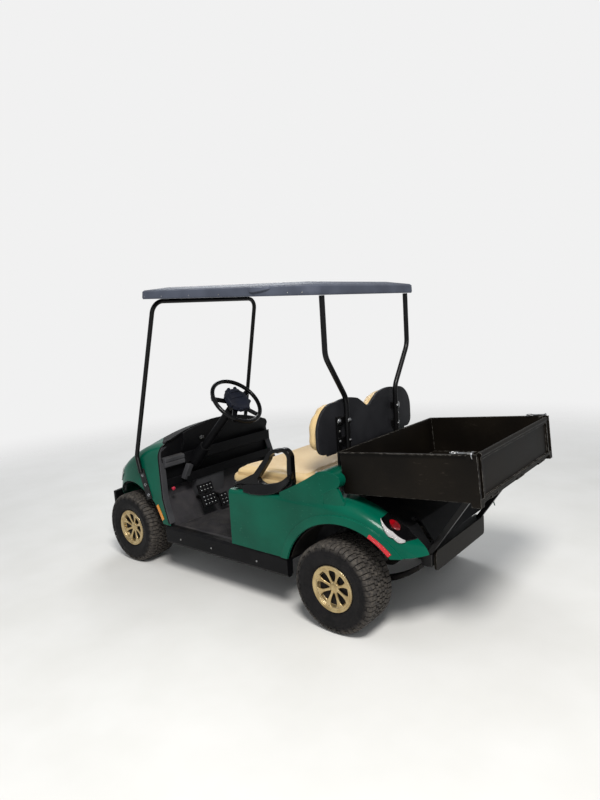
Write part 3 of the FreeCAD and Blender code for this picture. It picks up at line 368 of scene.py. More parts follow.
def tyre_rubber():
    """Black rubber: a smooth sidewall and a tread filled with pale dust."""
    f = Finish("rubber_tread")
    where = f.place()
    worn = f.attribute("tread")
    clumps = f.noise(where, 60, 6, 0.7).between(0.3, 0.75)
    dust = (worn * 0.45 + 0.03) * clumps
    rubber = f.mix((12, 12, 14), (22, 21, 23), f.noise(where, 12, 4).between(0.3, 0.7))
    rubber = f.mix(rubber, (58, 56, 56), worn * 0.5)
    base = f.mix(rubber, (122, 114, 104), dust)
    height = f.noise(where, 420, 3) * 0.5 + f.noise(where, 1800, 2) * 0.4
    return f.close(
        Base_Color=base,
        Roughness=0.55 + dust * 0.35,
        Specular_IOR_Level=0.12,
        Normal=f.bump(height, 0.0007),
    )


def tan_vinyl():
    """Tan vinyl: a pebbled grain, broad creases and darker stitched seams."""
    f = Finish("tan_vinyl")
    where = f.place()
    cells = {"Vector": where, "Scale": 480.0}
    pebble = f.add("ShaderNodeTexVoronoi", "Distance", {"feature": "DISTANCE_TO_EDGE"}, cells)
    crease = f.noise(f.place((1, 2.2, 1)), 9, 4, 0.6)
    seam = f.attribute("seam")
    shade = f.noise(where, 5, 4).between(0.3, 0.7)
    base = f.mix((222, 192, 138), (208, 176, 122), shade)
    base = f.mix(base, (150, 120, 78), seam * 0.8)
    base = f.mix(base, (196, 166, 116), f.noise(where, 40, 5).between(0.62, 0.8) * 0.4)
    height = pebble.between(0, 0.09) * 0.5 + crease * 4.0
    return f.close(
        Base_Color=base,
        Roughness=0.4 + shade * 0.1,
        Sheen_Weight=0.1,
        Normal=f.bump(height, 0.0009),
    )


def lens(name, colour, deep, clear=0.0):
    """A moulded lens with fine optics behind a glossy skin."""
    f = Finish(name)
    where = f.place((1, 1, 1), (0, 0.6, 0))
    ribs = {"Vector": where, "Scale": 160.0}
    wave = f.add("ShaderNodeTexWave", "Fac", {"bands_direction": "Z"}, ribs)
    cross = f.add("ShaderNodeTexWave", "Fac", {"bands_direction": "X"}, ribs)
    soft, _ = f.rounded(0.002)
    base = f.mix(colour, deep, (wave * cross).between(0.1, 0.9))
    return f.close(
        Base_Color=base,
        Roughness=0.12,
        Coat_Weight=0.6,
        Coat_Roughness=0.04,
        Transmission_Weight=clear,
        Normal=f.bump(wave * cross, 0.0006, 1.0, soft),
    )


finishes = {name: coated(name, *look[:-1], **look[-1]) for name, look in COATED.items()}
finishes["gold_alloy"] = gold_alloy()
finishes["rubber_tread"] = tyre_rubber()
finishes["tan_vinyl"] = tan_vinyl()
finishes["clear_lens"] = lens("clear_lens", (208, 204, 204), (160, 156, 158), 0.2)
finishes["red_lens"] = lens("red_lens", (206, 14, 30), (140, 4, 14))
finishes["lamp_red"] = lens("lamp_red", (150, 8, 20), (70, 2, 8))
finishes["amber_lens"] = lens("amber_lens", (232, 150, 32), (196, 104, 14))


# Mesh helpers


def merged(node):
    """A CAD node's mesh in one piece, its triangles joined at their corners."""
    bm = bmesh.new()
    bm.from_mesh(nodes[node].data)
    bmesh.ops.remove_doubles(bm, verts=bm.verts, dist=1e-5)
    return bm


def piece(bm, name, finish, body="chassis", sharp=34, replaced=()):
    """Turns a bmesh into a shown piece on one body; edges of more than sharp degrees stay hard."""
    limit = math.radians(sharp)
    for face in bm.faces:
        face.smooth = True
    for edge in bm.edges:
        edge.smooth = len(edge.link_faces) == 2 and edge.calc_face_angle() < limit
    mesh = bpy.data.meshes.new(name)
    bm.to_mesh(mesh)
    bm.free()
    mesh.materials.append(finishes[finish])
    obj = new_object(name, mesh)
    weighted = obj.modifiers.new("even_shading", "WEIGHTED_NORMAL")
    weighted.keep_sharp = True
    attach(obj, body)
    if replaced:
        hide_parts(*replaced)
    return obj


def dress(node, finish, sharp=34):
    """Shows a CAD node with smooth shading and a real finish."""
    return piece(merged(node), node + "_shown", finish, nodes[node]["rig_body"], sharp, [node])


def slab(bm, centre, half, edge, steps=2, turn=None):
    """A block with rounded edges, from its middle and half sizes, turned about its middle."""
    place = Matrix.Translation(centre) @ (turn or Matrix.Identity(4)) @ Matrix.Diagonal((*half, 1))
    soften(bm, bmesh.ops.create_cube(bm, size=2, matrix=place)["verts"], edge, steps)


def soften(bm, verts, width, steps=2, least=20):
    """Bevels the edges between the given points that turn by more than least degrees."""
    limit = math.radians(least)
    near = {e for v in verts for e in v.link_edges}
    edges = [e for e in near if e.is_manifold and e.calc_face_angle() > limit]
    bevel(bm, edges, width, steps)


def bevel(bm, edges, width, steps):
    """Rounds edges."""
    bmesh.ops.bevel(
        bm, geom=edges, offset=width, offset_type="OFFSET", segments=steps, profile=0.5,
        affect="EDGES", material=-1, clamp_overlap=True,
    )


def facing(direction):
    """A turn that takes +Z to the given direction."""
    return Vector(direction).to_track_quat("Z", "Y").to_matrix().to_4x4()


def along_axes(x, y, z):
    """A turn that takes +X, +Y and +Z to three directions."""
    return Matrix((x, y, z)).transposed().to_4x4()


def verts_of(geometry):
    return [g for g in geometry if isinstance(g, bmesh.types.BMVert)]


def edges_of(geometry):
    return [g for g in geometry if isinstance(g, bmesh.types.BMEdge)]


def bar(bm, start, end, radius, sides=16, top=None):
    """A round bar or taper from start to end."""
    along = end - start
    place = Matrix.Translation((start + end) / 2) @ facing(along)
    made = bmesh.ops.create_cone(
        bm, cap_ends=True, segments=sides, radius1=radius, radius2=radius if top is None else top,
        depth=along.length, matrix=place,
    )
    return made["verts"]


def sweep(bm, points, radius, sides=10):
    """A tube through points."""
    headings = [
        (after - before).normalized()
        for before, after in zip([points[0]] + points[:-1], points[1:] + [points[-1]])
    ]
    place = Matrix.Translation(points[0]) @ facing(headings[0])
    made = bmesh.ops.create_circle(bm, cap_ends=True, segments=sides, radius=radius, matrix=place)
    edges = list({e for v in made["verts"] for e in v.link_edges})
    for here, there, old, new in zip(points, points[1:], headings, headings[1:]):
        made = bmesh.ops.extrude_edge_only(bm, edges=edges)["geom"]
        verts = verts_of(made)
        edges = edges_of(made)
        bmesh.ops.translate(bm, verts=verts, vec=there - here)
        turn = old.rotation_difference(new).to_matrix()
        bmesh.ops.rotate(bm, verts=verts, cent=there, matrix=turn)
    bmesh.ops.edgeloop_fill(bm, edges=edges)
    bmesh.ops.recalc_face_normals(bm, faces=bm.faces)


def turned(bm, profile, steps, closed=True):
    """A shape turned about the Y axis from (y, radius) points in millimetres."""
    verts = [bm.verts.new((0, y / 1000, r / 1000)) for y, r in profile]
    pairs = zip(verts, verts[1:] + verts[:1]) if closed else zip(verts, verts[1:])
    edges = [bm.edges.new(pair) for pair in pairs]
    bmesh.ops.spin(
        bm, geom=verts + edges, cent=(0, 0, 0), axis=(0, 1, 0), dvec=(0, 0, 0), angle=2 * math.pi,
        steps=steps, use_merge=True, use_duplicate=False,
    )
    bmesh.ops.remove_doubles(bm, verts=bm.verts, dist=1e-6)
    bmesh.ops.recalc_face_normals(bm, faces=bm.faces)


def copied_round(bm, geometry, count):
    """Copies a shape round the Y axis until there are count of them."""
    bmesh.ops.spin(
        bm, geom=geometry, cent=(0, 0, 0), axis=(0, 1, 0), dvec=(0, 0, 0),
        angle=2 * math.pi * (count - 1) / count, steps=count - 1, use_duplicate=True,
    )


def plate(bm, outline, thickness, edge=0.0, steps=2):
    """A plate from a list of points in one plane, thickened along its normal."""
    verts = [bm.verts.new(p) for p in outline]
    face = bm.faces.new(verts)
    face.normal_update()
    push = face.normal * thickness
    made = bmesh.ops.extrude_face_region(bm, geom=[face])["geom"]
    moved = verts_of(made)
    bmesh.ops.translate(bm, verts=moved, vec=push)
    whole = verts + moved
    bmesh.ops.recalc_face_normals(bm, faces=list({f for v in whole for f in v.link_faces}))
    if edge:
        before = set(bm.verts) - set(whole)
        soften(bm, whole, edge, steps)
        whole = [v for v in bm.verts if v not in before]
    return whole


def loft(bm, rings):
    """A closed skin through rings of points, each ring with the same number of points."""
    loops = []
    for ring in rings:
        verts = [bm.verts.new(p) for p in ring]
        loops.append([bm.edges.new(pair) for pair in zip(verts, verts[1:] + verts[:1])])
    for here, there in zip(loops, loops[1:]):
        bmesh.ops.bridge_loops(bm, edges=here + there)
    for end in (loops[0], loops[-1]):
        bmesh.ops.edgeloop_fill(bm, edges=end)
    faces = {f for loop in loops for e in loop for f in e.link_faces}
    bmesh.ops.recalc_face_normals(bm, faces=list(faces))


def loft_both(bm, sections):
    """Lofts through sections of points in millimetres, on the cart's left and on its right."""
    for sign in SIDES.values():
        loft(bm, [[at(x, sign * y, z) for x, y, z in section] for section in sections])


def whole_of(bm):
    return list(bm.verts) + list(bm.edges) + list(bm.faces)


def trimmed(bm, point, away):
    """Cuts off what lies beyond a plane and closes the cut."""
    cut = bmesh.ops.bisect_plane(
        bm, geom=whole_of(bm), plane_co=point, plane_no=away, clear_outer=True,
    )
    edges = edges_of(cut["geom_cut"])
    bmesh.ops.triangle_fill(bm, edges=edges, normal=away, use_beauty=True)


def surface_of(node):
    """A CAD node's surface, for finding where a line meets it."""
    mesh = nodes[node].data
    faces = [tuple(p.vertices) for p in mesh.polygons]
    return BVHTree.FromPolygons([v.co for v in mesh.vertices], faces)


def touch(tree, start, direction):
    """Where a straight line from start first meets a surface, and the surface's normal there."""
    point, normal, _, _ = tree.ray_cast(start, Vector(direction))
    return point, normal


def bolt(bm, point, direction, size):
    """A hexagon bolt head with a washer, standing on a surface."""
    along = Vector(direction).normalized()
    seat = point + along * 0.0018
    soften(bm, bar(bm, point, seat, size * 1.55, 20), 0.0006, 1)
    soften(bm, bar(bm, seat, seat + along * size * 0.75, size, 6), size * 0.14, 2)


def dome(bm, point, direction, size):
    """A round screw head."""
    along = Vector(direction).normalized()
    squash = Matrix.Translation(point) @ facing(along) @ Matrix.Diagonal((1, 1, 0.55, 1))
    bmesh.ops.create_uvsphere(bm, u_segments=14, v_segments=8, radius=size, matrix=squash)


# Wheels


def tyre_mesh():
    """One tyre about the Y axis, its outer side towards +Y: sidewall rings and blocky tread."""
    bm = bmesh.new()
    half = [
        # distance from the middle plane, radius
        (88.8, 104), (90.5, 119.5), (95.5, 124), (98.5, 130), (100, 130.2), (100.4, 133),
        (102.8, 140), (105, 152), (106, 164), (107, 165.2), (107, 170), (106.1, 171.2),
        (105.8, 184), (104.6, 193), (101.8, 202), (96.8, 210), (90, 215.5), (78, 218.8),
        (50, 220), (20, 220.4),
    ]
    profile = half + [(-y, r) for y, r in reversed(half)]
    turned(bm, profile, 96)
    layer = bm.verts.layers.float.new("tread")
    shoulder = (
        (46, 219.5), (46, 228), (78, 227.6), (90, 225.4), (98.5, 219.6), (104, 211), (106.8, 199),
        (106.4, 190), (103, 190), (101, 200), (94, 210), (78, 217),
    )
    short = (
        (52, 219.5), (52, 228), (78, 227.6), (90, 225.4), (98.5, 219.6), (103.5, 212), (101, 208),
        (94, 212), (78, 217),
    )
    inner = ((3.5, 219.6), (3.5, 228.4), (21.5, 228.2), (21.5, 219.4))
    outer = ((24.5, 219.6), (24.5, 228.4), (44, 228.2), (44, 219.4))
    blocks = (
        # outline, length round the tyre, slant, how many go round, and in pitches: start, and how
        # much later the tyre's other half starts
        (shoulder, 25, 0.10, 26, 0.0, 0.25),
        (short, 21, 0.10, 26, 0.5, 0.25),
        (inner, 19.5, 0.25, 52, 0.0, 0.2),
        (outer, 19.5, 0.25, 52, 0.5, 0.2),
    )
    for sign in SIDES.values():
        for outline, length, slant, count, start, later in blocks:
            turn = (start + later * (sign < 0)) * 2 * math.pi / count
            add_lug(bm, outline, length, slant * sign, turn, sign, count)
    for vert in bm.verts:
        radius = math.hypot(vert.co.x, vert.co.z)
        vert[layer] = min(1, max(0, (radius - 0.196) / 0.02))
    return bm


def add_lug(bm, outline, length, slant, start, sign, count):
    """A tread block from its outline across the tyre in millimetres, copied round the tyre."""
    before = set(bm.verts)
    rows = [Vector((-length / 2, sign * y, r)) / 1000 for y, r in outline]
    verts = plate(bm, rows, length / 1000)
    middle_x = sum(v.co.x for v in verts) / len(verts)
    for vert in verts:
        vert.co.x += slant * (abs(vert.co.y) - 0.05) - middle_x
    soften(bm, verts, 0.0012, 1, 30)
    lug = [v for v in bm.verts if v not in before]
    bmesh.ops.rotate(bm, verts=lug, cent=(0, 0, 0), matrix=Matrix.Rotation(start, 3, "Y"))
    edges = {e for v in lug for e in v.link_edges}
    faces = {f for v in lug for f in v.link_faces}
    copied_round(bm, lug + list(edges) + list(faces), count)


def rim_extras():
    """Spokes with their ring, lip and cap, a dark sheet behind them, partly the dark drum and
    partly painted shade inside the wheel, and the valve.
    """
    alloy = bmesh.new()
    half = [
        # half width of a spoke, radius
        (7.6, 24), (6.6, 44), (7.4, 64), (12, 80), (21.5, 92.5), (33, 98.5),
    ]
    outline = [(-t, r) for t, r in half] + [(t, r) for t, r in reversed(half)]
    face = [Vector((t, 71.5 + (r - 24) * 0.14, r)) / 1000 for t, r in outline]
    spoke = plate(alloy, face, 0.0085, 0.0032, 3)
    turn = Matrix.Rotation(math.pi / 8, 3, "Y")
    bmesh.ops.rotate(alloy, verts=spoke, cent=(0, 0, 0), matrix=turn)
    copied_round(alloy, whole_of(alloy), 8)
    ring = ((79, 92.5), (90.5, 93.5), (92.5, 99), (94.5, 104), (80, 104))
    turned(alloy, ring, 96)
    lip = (
        (94, 103), (96.2, 104.6), (97.2, 108), (98.5, 111), (98.8, 114.5), (97.5, 117.2),
        (94, 117.9),
    )
    turned(alloy, lip, 72)
    cap = (
        (85, 0), (84.8, 8), (83.8, 16), (81.5, 22.5), (78.5, 26.2), (74.5, 29.2), (68, 30), (68, 0),
    )
    turned(alloy, cap, 48, False)
    # A dark sheet behind the spokes: painted shade in the wheel's windows, over the gold disc
    # behind.
    shade = bmesh.new()
    well = ((64, 25), (73.5, 96), (79, 100), (70, 100), (60, 25))
    turned(shade, well, 72)
    valve = bmesh.new()
    bar(valve, Vector((0.006, 0.076, 0.0885)), Vector((0.004, 0.092, 0.084)), 0.0032, 10)
    return alloy, shade, valve


def wheels():
    """Tyres and wheel details for the four wheels."""
    tyre = tyre_mesh()
    alloy, shade, valve = rim_extras()
    for end in ("front", "rear"):
        for side, sign in SIDES.items():
            name = f"{end}_{side}"
            body = f"wheel_{name}"
            turn = Matrix.Rotation(0 if sign > 0 else math.pi, 4, "Z")
            place = Matrix.Translation(middle(f"rim_{name}")) @ turn
            rows = (
                ("tyre_shown_" + name, tyre, "rubber_tread", 50, [f"tyre_{name}"]),
                ("rim_face_" + name, alloy, "gold_alloy", 34, []),
                ("rim_shade_" + name, shade, "running_gear", 34, []),
                ("valve_" + name, valve, "black_plastic", 30, []),
            )
            for label, source, finish, sharp, replaced in rows:
                own = source.copy()
                bmesh.ops.transform(own, matrix=place, verts=own.verts)
                piece(own, label, finish, body, sharp, replaced)
            dress(f"rim_{name}", "gold_alloy", 28)
    for source in (tyre, alloy, shade, valve):
        source.free()


# Seat and back

CLOTH_GRID = 0.0085
CLOTH_FRAMES = 20
MOST_SWELL = 0.026
# share of an inward fold that is taken back, and how often the cover is smoothed after that
UNFOLD = 0.7
SMOOTHINGS = 5


def swollen(node, name, inset, low, high):
    """A pad blown up by cloth simulation from its block, kept between two corners."""
    bm = merged(node)
    centre = middle(node)
    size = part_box(node)[1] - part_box(node)[0]
    shrink = Matrix.Diagonal([1 - 2 * inset / s for s in size]).to_4x4()
    place = Matrix.Translation(centre) @ shrink @ Matrix.Translation(-centre)
    bmesh.ops.transform(bm, matrix=place, verts=bm.verts)
    mesh = bpy.data.meshes.new(name)
    bm.to_mesh(mesh)
    bm.free()
    obj = new_object(name, mesh)
    remesh = obj.modifiers.new("remesh", "REMESH")
    remesh.mode = "VOXEL"
    remesh.voxel_size = CLOTH_GRID
    take_modifiers(obj)
    rest = [(v.co.copy(), v.normal.copy()) for v in obj.data.vertices]
    cloth = obj.modifiers.new("cloth", "CLOTH")
    cloth.settings.use_pressure = True
    cloth.settings.uniform_pressure_force = 4
    cloth.settings.effector_weights.gravity = 0
    cloth.point_cache.frame_start = 1
    cloth.point_cache.frame_end = CLOTH_FRAMES
    for number in range(1, CLOTH_FRAMES + 1):
        bpy.context.scene.frame_set(number)
    take_modifiers(obj)
    for vert, (start, normal) in zip(obj.data.vertices, rest):
        move = vert.co - start
        move -= normal * min(0, move.dot(normal)) * UNFOLD
        if move.length > MOST_SWELL:
            move *= MOST_SWELL / move.length
        vert.co = start + move
    bm = bmesh.new()
    bm.from_mesh(obj.data)
    for _ in range(SMOOTHINGS):
        bmesh.ops.smooth_vert(
            bm, verts=bm.verts, factor=0.5, use_axis_x=True, use_axis_y=True, use_axis_z=True,
        )
    for vert in bm.verts:
        vert.co = Vector(max(a, min(b, c)) for a, b, c in zip(low, high, vert.co))
    bm.to_mesh(obj.data)
    bm.free()
    obj.data.materials.clear()
    obj.data.materials.append(finishes["tan_vinyl"])
    body = nodes[node]["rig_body"]
    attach(obj, body)
    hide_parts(node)
    return obj


def take_modifiers(obj):
    """Makes an object's modified mesh its own mesh."""
    graph = bpy.context.evaluated_depsgraph_get()
    mesh = bpy.data.meshes.new_from_object(obj.evaluated_get(graph))
    obj.modifiers.clear()
    obj.data = mesh


def sew(obj, distance, width, depth):
    """Sinks a stitched seam where distance(point) is near zero and marks it for the vinyl."""
    mesh = obj.data
    seam = mesh.attributes.new("seam", "FLOAT", "POINT")
    normals = [v.normal.copy() for v in mesh.vertices]
    for vert, normal in zip(mesh.vertices, normals):
        near = math.exp(-((distance(vert.co) / width) ** 2))
        seam.data[vert.index].value = near
        vert.co -= normal * depth * near
    for polygon in mesh.polygons:
        polygon.use_smooth = True
    smooth = obj.modifiers.new("smooth", "SUBSURF")
    smooth.levels = 1
    smooth.render_levels = 1


def cushions():
    """The bench cushion and the seat back's cushion."""
    low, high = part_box("seat_cushion")
    seam_z = low.z + 0.034
    bench = swollen(
        "seat_cushion", "bench_cushion", 0.002,
        low - Vector((0.004, 0.008, 0)), high + Vector((0.006, 0.008, 0.014)),
    )
    sew(bench, lambda p: abs(p.z - seam_z), 0.003, 0.0015)
    low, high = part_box("seat_back_cushion")
    seam_x = low.x + 0.046
    back = swollen(
        "seat_back_cushion", "back_cushion", 0.001,
        low - Vector((0, 0.006, 0.006)), high + Vector((0.012, 0.006, 0.006)),
    )
    sew(back, lambda p: abs(p.x - seam_x), 0.0035, 0.003)


# Body panels and small parts

# distance from the rear axle and height, up the edge of the cowl's opening towards the driver
OPENING_EDGE = ((1234, 300), (1315, 477), (1368, 729), (1347, 824), (1340, 1000))


def opening_x(z):
    """How far ahead the opening's edge is at a height in millimetres."""
    for (x0, z0), (x1, z1) in zip(OPENING_EDGE, OPENING_EDGE[1:]):
        if z <= z1:
            return x0 + (x1 - x0) * (z - z0) / (z1 - z0)
    return OPENING_EDGE[-1][0]


def opening_trim():
    """The edge strip round the cowl's opening, and the broad grey jamb inside each side of it."""
    cowl = surface_of("front_cowl")

    def met(starts, way):
        points = [touch(cowl, start, way)[0] for start in starts]
        return [p for p in points if p is not None]

    side = met([at(opening_x(z) + 4, 700, z) for z in range(330, 800, 24)], (0, -1, 0))
    over = met([at(opening_x(850) + 4, y, 1000) for y in range(478, -1, -34)], (0, 0, -1))
    half = side + over
    whole = half + [Vector((p.x, -p.y, p.z)) for p in reversed(half) if p.y > 0.01]
    bm = bmesh.new()
    sweep(bm, whole, 0.005, 10)
    piece(bm, "cowl_opening_trim", "gloss_black", sharp=60)
    jambs = bmesh.new()
    corners = (
        # from the opening's edge: ahead, outwards
        (-0.008, 0.001), (-0.010, -0.004), (-0.004, -0.044), (0.002, -0.046), (0.004, -0.040),
        (0.001, 0),
    )
    for sign in SIDES.values():
        loft(jambs, [[(p.x + x, sign * (p.y + y), p.z) for x, y in corners] for p in side])
    piece(jambs, "cowl_opening_jambs", "shelf_grey", sharp=40)


def cowl_top():
    """The black moulding over the top of the cowl, in front of the driver's opening."""
    bm = merged("front_cowl")
    planes = (
        # a point on the cut, the side that goes
        ((1512, 0, 0), (1, 0, 0)),
        ((0, 462, 0), (0, 1, 0)),
        ((0, -462, 0), (0, -1, 0)),
        ((1340, 0, 770), (0, 0, -1)),
        ((1345, 470, 806), (0.3, 0.35, -1)),
        ((1345, -470, 806), (0.3, -0.35, -1)),
    )
    for point, away in planes:
        trimmed(bm, at(*point), Vector(away).normalized())
    bmesh.ops.recalc_face_normals(bm, faces=bm.faces)
    bm.normal_update()
    for vert in bm.verts:
        vert.co += vert.normal * 0.0025
    piece(bm, "cowl_top", "black_plastic", sharp=40)


def shell_flange():
    """The seat back shell's turned lower edge."""
    bm = bmesh.new()
    slab(bm, at(125, 0, 843), Vector((0.006, 0.396, 0.009)), 0.004, 3)
    piece(bm, "seat_back_flange", "shell_grey", nodes["seat_back_shell"]["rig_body"], 40)


def dash_panel():
    """The dash, with its shelves kept inside the cowl's opening and its left end set further in."""
    whole = merged("dash")
    left = whole.copy()
    split = at(0, 322, 0)
    trimmed(whole, split, (0, 1, 0))
    trimmed(whole, at(1325, 0, 0), (-1, 0, 0))
    trimmed(left, split, (0, -1, 0))
    trimmed(left, at(1356, 0, 0), (-1, 0, 0))
    mesh = bpy.data.meshes.new("left_shelf")
    left.to_mesh(mesh)
    left.free()
    whole.from_mesh(mesh)
    piece(whole, "dash_shown", "black_plastic", sharp=30, replaced=["dash"])


def dash_mouldings():
    """The shelf's lip, the kick panel and the socket block on the dash."""
    grey = bmesh.new()
    lip = (
        (1360, 722), (1331, 718), (1327, 712), (1327, 694), (1331, 691), (1331, 687), (1327, 684),
        (1326, 664), (1330, 659), (1360, 656),
    )
    plate(grey, [at(x, 326, z) for x, z in lip], -0.156, 0.001, 1)
    kick = (
        (1302, 306), (1352, 388), (1338, 470), (1334, 556), (1342, 566), (1392, 566), (1394, 450),
        (1311, 302),
    )
    plate(grey, [at(x, 236, z) for x, z in kick], -0.244, 0.0015)
    start, end = at(1322, 296, 640), at(1346, 326, 552)
    along = (end - start).normalized()
    across = Vector((0, 1, 0)).cross(along).normalized()
    turn = along_axes(along, across.cross(along) * -1, across)
    slab(grey, (start + end) / 2, Vector((0.052, 0.020, 0.017)), 0.004, 3, turn)
    cap = start + along * 0.010 - across * 0.0175
    slab(grey, cap, Vector((0.010, 0.013, 0.002)), 0.001, 2, turn)
    piece(grey, "dash_mouldings", "shelf_grey", sharp=30)


def dash_controls():
    """The brake's red knob, the steering column's boot and the key in its switch."""
    knob = bmesh.new()
    foot, out = at(1337, 444, 518), Vector((-1, 0, 0))
    soften(knob, bar(knob, foot, foot + out * 0.016, 0.006, 14), 0.001, 1)
    dome(knob, foot + out * 0.018, out, 0.013)
    piece(knob, "brake_knob", "red_knob", sharp=50)
    boot = bmesh.new()
    soften(boot, bar(boot, at(1228, 231, 758), at(1352, 231, 638), 0.036, 32, 0.048), 0.004, 2)
    piece(boot, "column_boot", "black_plastic", sharp=40)
    ring = bmesh.new()
    spot = at(1334, 172, 800)
    soften(ring, bar(ring, spot, spot + out * 0.006, 0.016, 24), 0.002, 2)
    soften(ring, bar(ring, spot + out * 0.006, spot + out * 0.010, 0.010, 24), 0.001, 2)
    slab(ring, spot + out * 0.02, Vector((0.011, 0.0012, 0.008)), 0.0006, 1)
    piece(ring, "key_switch", "zinc", sharp=30)


def steering_pad():
    """The cover on the steering wheel's hub, with its eight corners and a clip for cards."""
    hub = at(911, 231, 1064)
    up, out = Vector((0.695, 0, 0.719)), Vector((-0.719, 0, 0.695))
    turn = along_axes(up, (0, 1, 0), out)

    def spot(x, y, z):
        return hub + (up * x + Vector((0, y, 0)) + out * z) / 1000

    pad = bmesh.new()
    soften(pad, bar(pad, spot(0, 0, 2), spot(0, 0, 26), 0.088, 32, 0.078), 0.004, 3)
    for number in range(8):
        angle = math.pi * (number + 0.5) / 4
        x, y = 79 * math.cos(angle), 79 * math.sin(angle)
        soften(pad, bar(pad, spot(x, y, 4), spot(x, y, 24), 0.014, 12, 0.011), 0.0015, 2)
    rows = (
        # middle of the block, half sizes: up the wheel, across it and away from it
        ((34, 0, 28), (28, 48, 3)),
        ((54, 0, 33), (9, 36, 4)),
        ((72, -26, 28), (12, 9, 6)),
        ((72, 26, 28), (12, 9, 6)),
    )
    for centre, half in rows:
        slab(pad, spot(*centre), Vector(half) / 1000, 0.002, 2, turn)
    piece(pad, "steering_pad", "hub_padding", "steering_wheel", 30)


def wheel_wells():
    """Dark liners inside the arches, between the frame and the outer panels."""
    bm = bmesh.new()
    rows = (
        # arch centre and its height, inner and outer radius, inner and outer y, first and last
        # angle from +Z
        (-37, 212, 335, 338, 345, 540, -50, 72),
        (1670, 212, 309, 312, 300, 470, -60, 26),
        (1670, 212, 180, 312, 224, 228, -60, 40),
    )
    steps = 24
    for x, z, low, high, inner, outer, first, last in rows:
        ring = ((high, inner), (high, outer), (low, outer), (low, inner))
        sections = []
        for step in range(steps + 1):
            angle = math.radians(first + (last - first) * step / steps)
            ahead, above = math.sin(angle), math.cos(angle)
            sections.append([(x + r * ahead, y, z + r * above) for r, y in ring])
        loft_both(bm, sections)
    piece(bm, "wheel_well_liners", "running_gear", sharp=40)


def loop_flanges():
    """The flared foot of each hip loop, reaching over the pod's edge."""
    pod = surface_of("rear_body")
    bm = bmesh.new()
    rows = (
        # distance from the rear axle, top and bottom of the flare
        (655, 657, 648), (620, 662, 637), (584, 666, 631), (525, 672, 628), (466, 678, 631),
        (415, 686, 639), (365, 698, 652), (325, 716, 672), (295, 738, 694), (268, 758, 716),
        (252, 772, 736),
    )
    sections = []
    for x, top, low in rows:
        hit = touch(pod, at(x, 700, low - 6), (0, -1, 0))[0]
        skin = hit.y * 1000 if hit is not None else 548
        ring = (
            (520, top + 2), (530, top), (534, top - 3), (skin + 7, low + 5), (skin + 8, low + 1),
            (skin + 5, low - 4), (skin - 2, low - 4), (520, low + 2),
        )
        sections.append([(x, *point) for point in ring])
    loft_both(bm, sections)
    piece(bm, "hip_loop_feet", "gloss_black", sharp=40)


def hip_loops():
    """The moulded loops at the seat's ends with rounded edges."""
    bm = merged("hip_restraints")
    bmesh.ops.dissolve_limit(bm, angle_limit=0.02, verts=list(bm.verts), edges=list(bm.edges))
    edges = [
        e for e in bm.edges
        if e.is_manifold and e.calc_face_angle() > 1.2
        and all(abs(v.co.y) > 0.527 or abs(v.co.y) < 0.493 for v in e.verts)
    ]
    bevel(bm, edges, 0.009, 4)
    piece(bm, "hip_restraints_shown", "gloss_black", sharp=40, replaced=["hip_restraints"])


def quarter_panels():
    """The green skin below each shoulder, down to the rear fender."""
    bm = bmesh.new()
    rows = (
        # distance from the rear axle, top of the skin, outer y at its bottom and at its top
        (50, 694, 553.5, 556.0), (30, 706, 552.5, 554.2), (10, 715, 550.5, 552.0),
        (-10, 724, 548.0, 549.6), (-30, 733, 544.0, 546.8), (-42, 716, 541.0, 544.0),
        (-54, 686, 537.0, 541.0), (-66, 650, 533.0, 536.0),
    )
    foot = 640
    loft_both(bm, [
        [(x, low_y, foot), (x, top_y, top), (x, top_y - 16, top), (x, low_y - 20, foot)]
        for x, top, low_y, top_y in rows
    ])
    piece(bm, "quarter_panels", "green_body", sharp=40)


def seat_valance():
    """The vinyl's turned-down edge and its piping, round the front and the ends of the seat."""
    bm = bmesh.new()
    rail = [(210, 483), (700, 483), (722, 476), (733, 455), (735, 425), (735, 0)]
    path = rail + [(x, -y) for x, y in reversed(rail) if y]
    profile = ((-3, 694), (3, 682), (4, 664), (-2, 655), (-14, 656), (-14, 692))
    rings = []
    for x, y in path:
        outward = Vector((x - 450, y * 0.6)).normalized()
        rings.append([at(x + outward.x * out, y + outward.y * out, z) for out, z in profile])
    loft(bm, rings)
    piece(bm, "seat_valance", "tan_vinyl", "seat", 50)


def fasteners():
    """Bolts and screws on the chassis."""
    bm = bmesh.new()
    back_rows = (
        # place on the seat back and its bars, size of the head
        (104, 300, 1000, 0.017), (75, 250, 1000, 0.014), (104, 300, 895, 0.009),
        (75, 250, 895, 0.009), (104, 300, 948, 0.007),
    )
    for sign in SIDES.values():
        for x in (1230, 1010, 760):
            dome(bm, at(x, sign * 500, 291), (0, 0, 1), 0.006)
        for x in (1150, 880, 520):
            dome(bm, at(x, sign * 560.5, 250), (0, sign, 0), 0.006)
        for x, y, z, size in back_rows:
            dome(bm, at(x, sign * y, z), (-1, 0, 0), size)
        bolt(bm, at(100, sign * 520, 782), (0, 0, 1), 0.006)
    strut_foot = surface_of("front_strut_frame")
    for x, z in ((1462, 480), (1500, 540), (1532, 596)):
        for sign in SIDES.values():
            point, normal = touch(strut_foot, at(x, sign * 700, z), (0, -sign, 0))
            if point is not None:
                bolt(bm, point, normal, 0.007)
    piece(bm, "fasteners", "zinc", sharp=30)


PADS = (
    # middle, half width, foot and head of the pad's face, rows and columns of studs
    (235, 60, (1215, 362), (1245, 440), 3, 4),
    (235, 60, (1249, 449), (1269, 505), 2, 4),
    (112, 36, (1208, 332), (1238, 412), 3, 2),
)


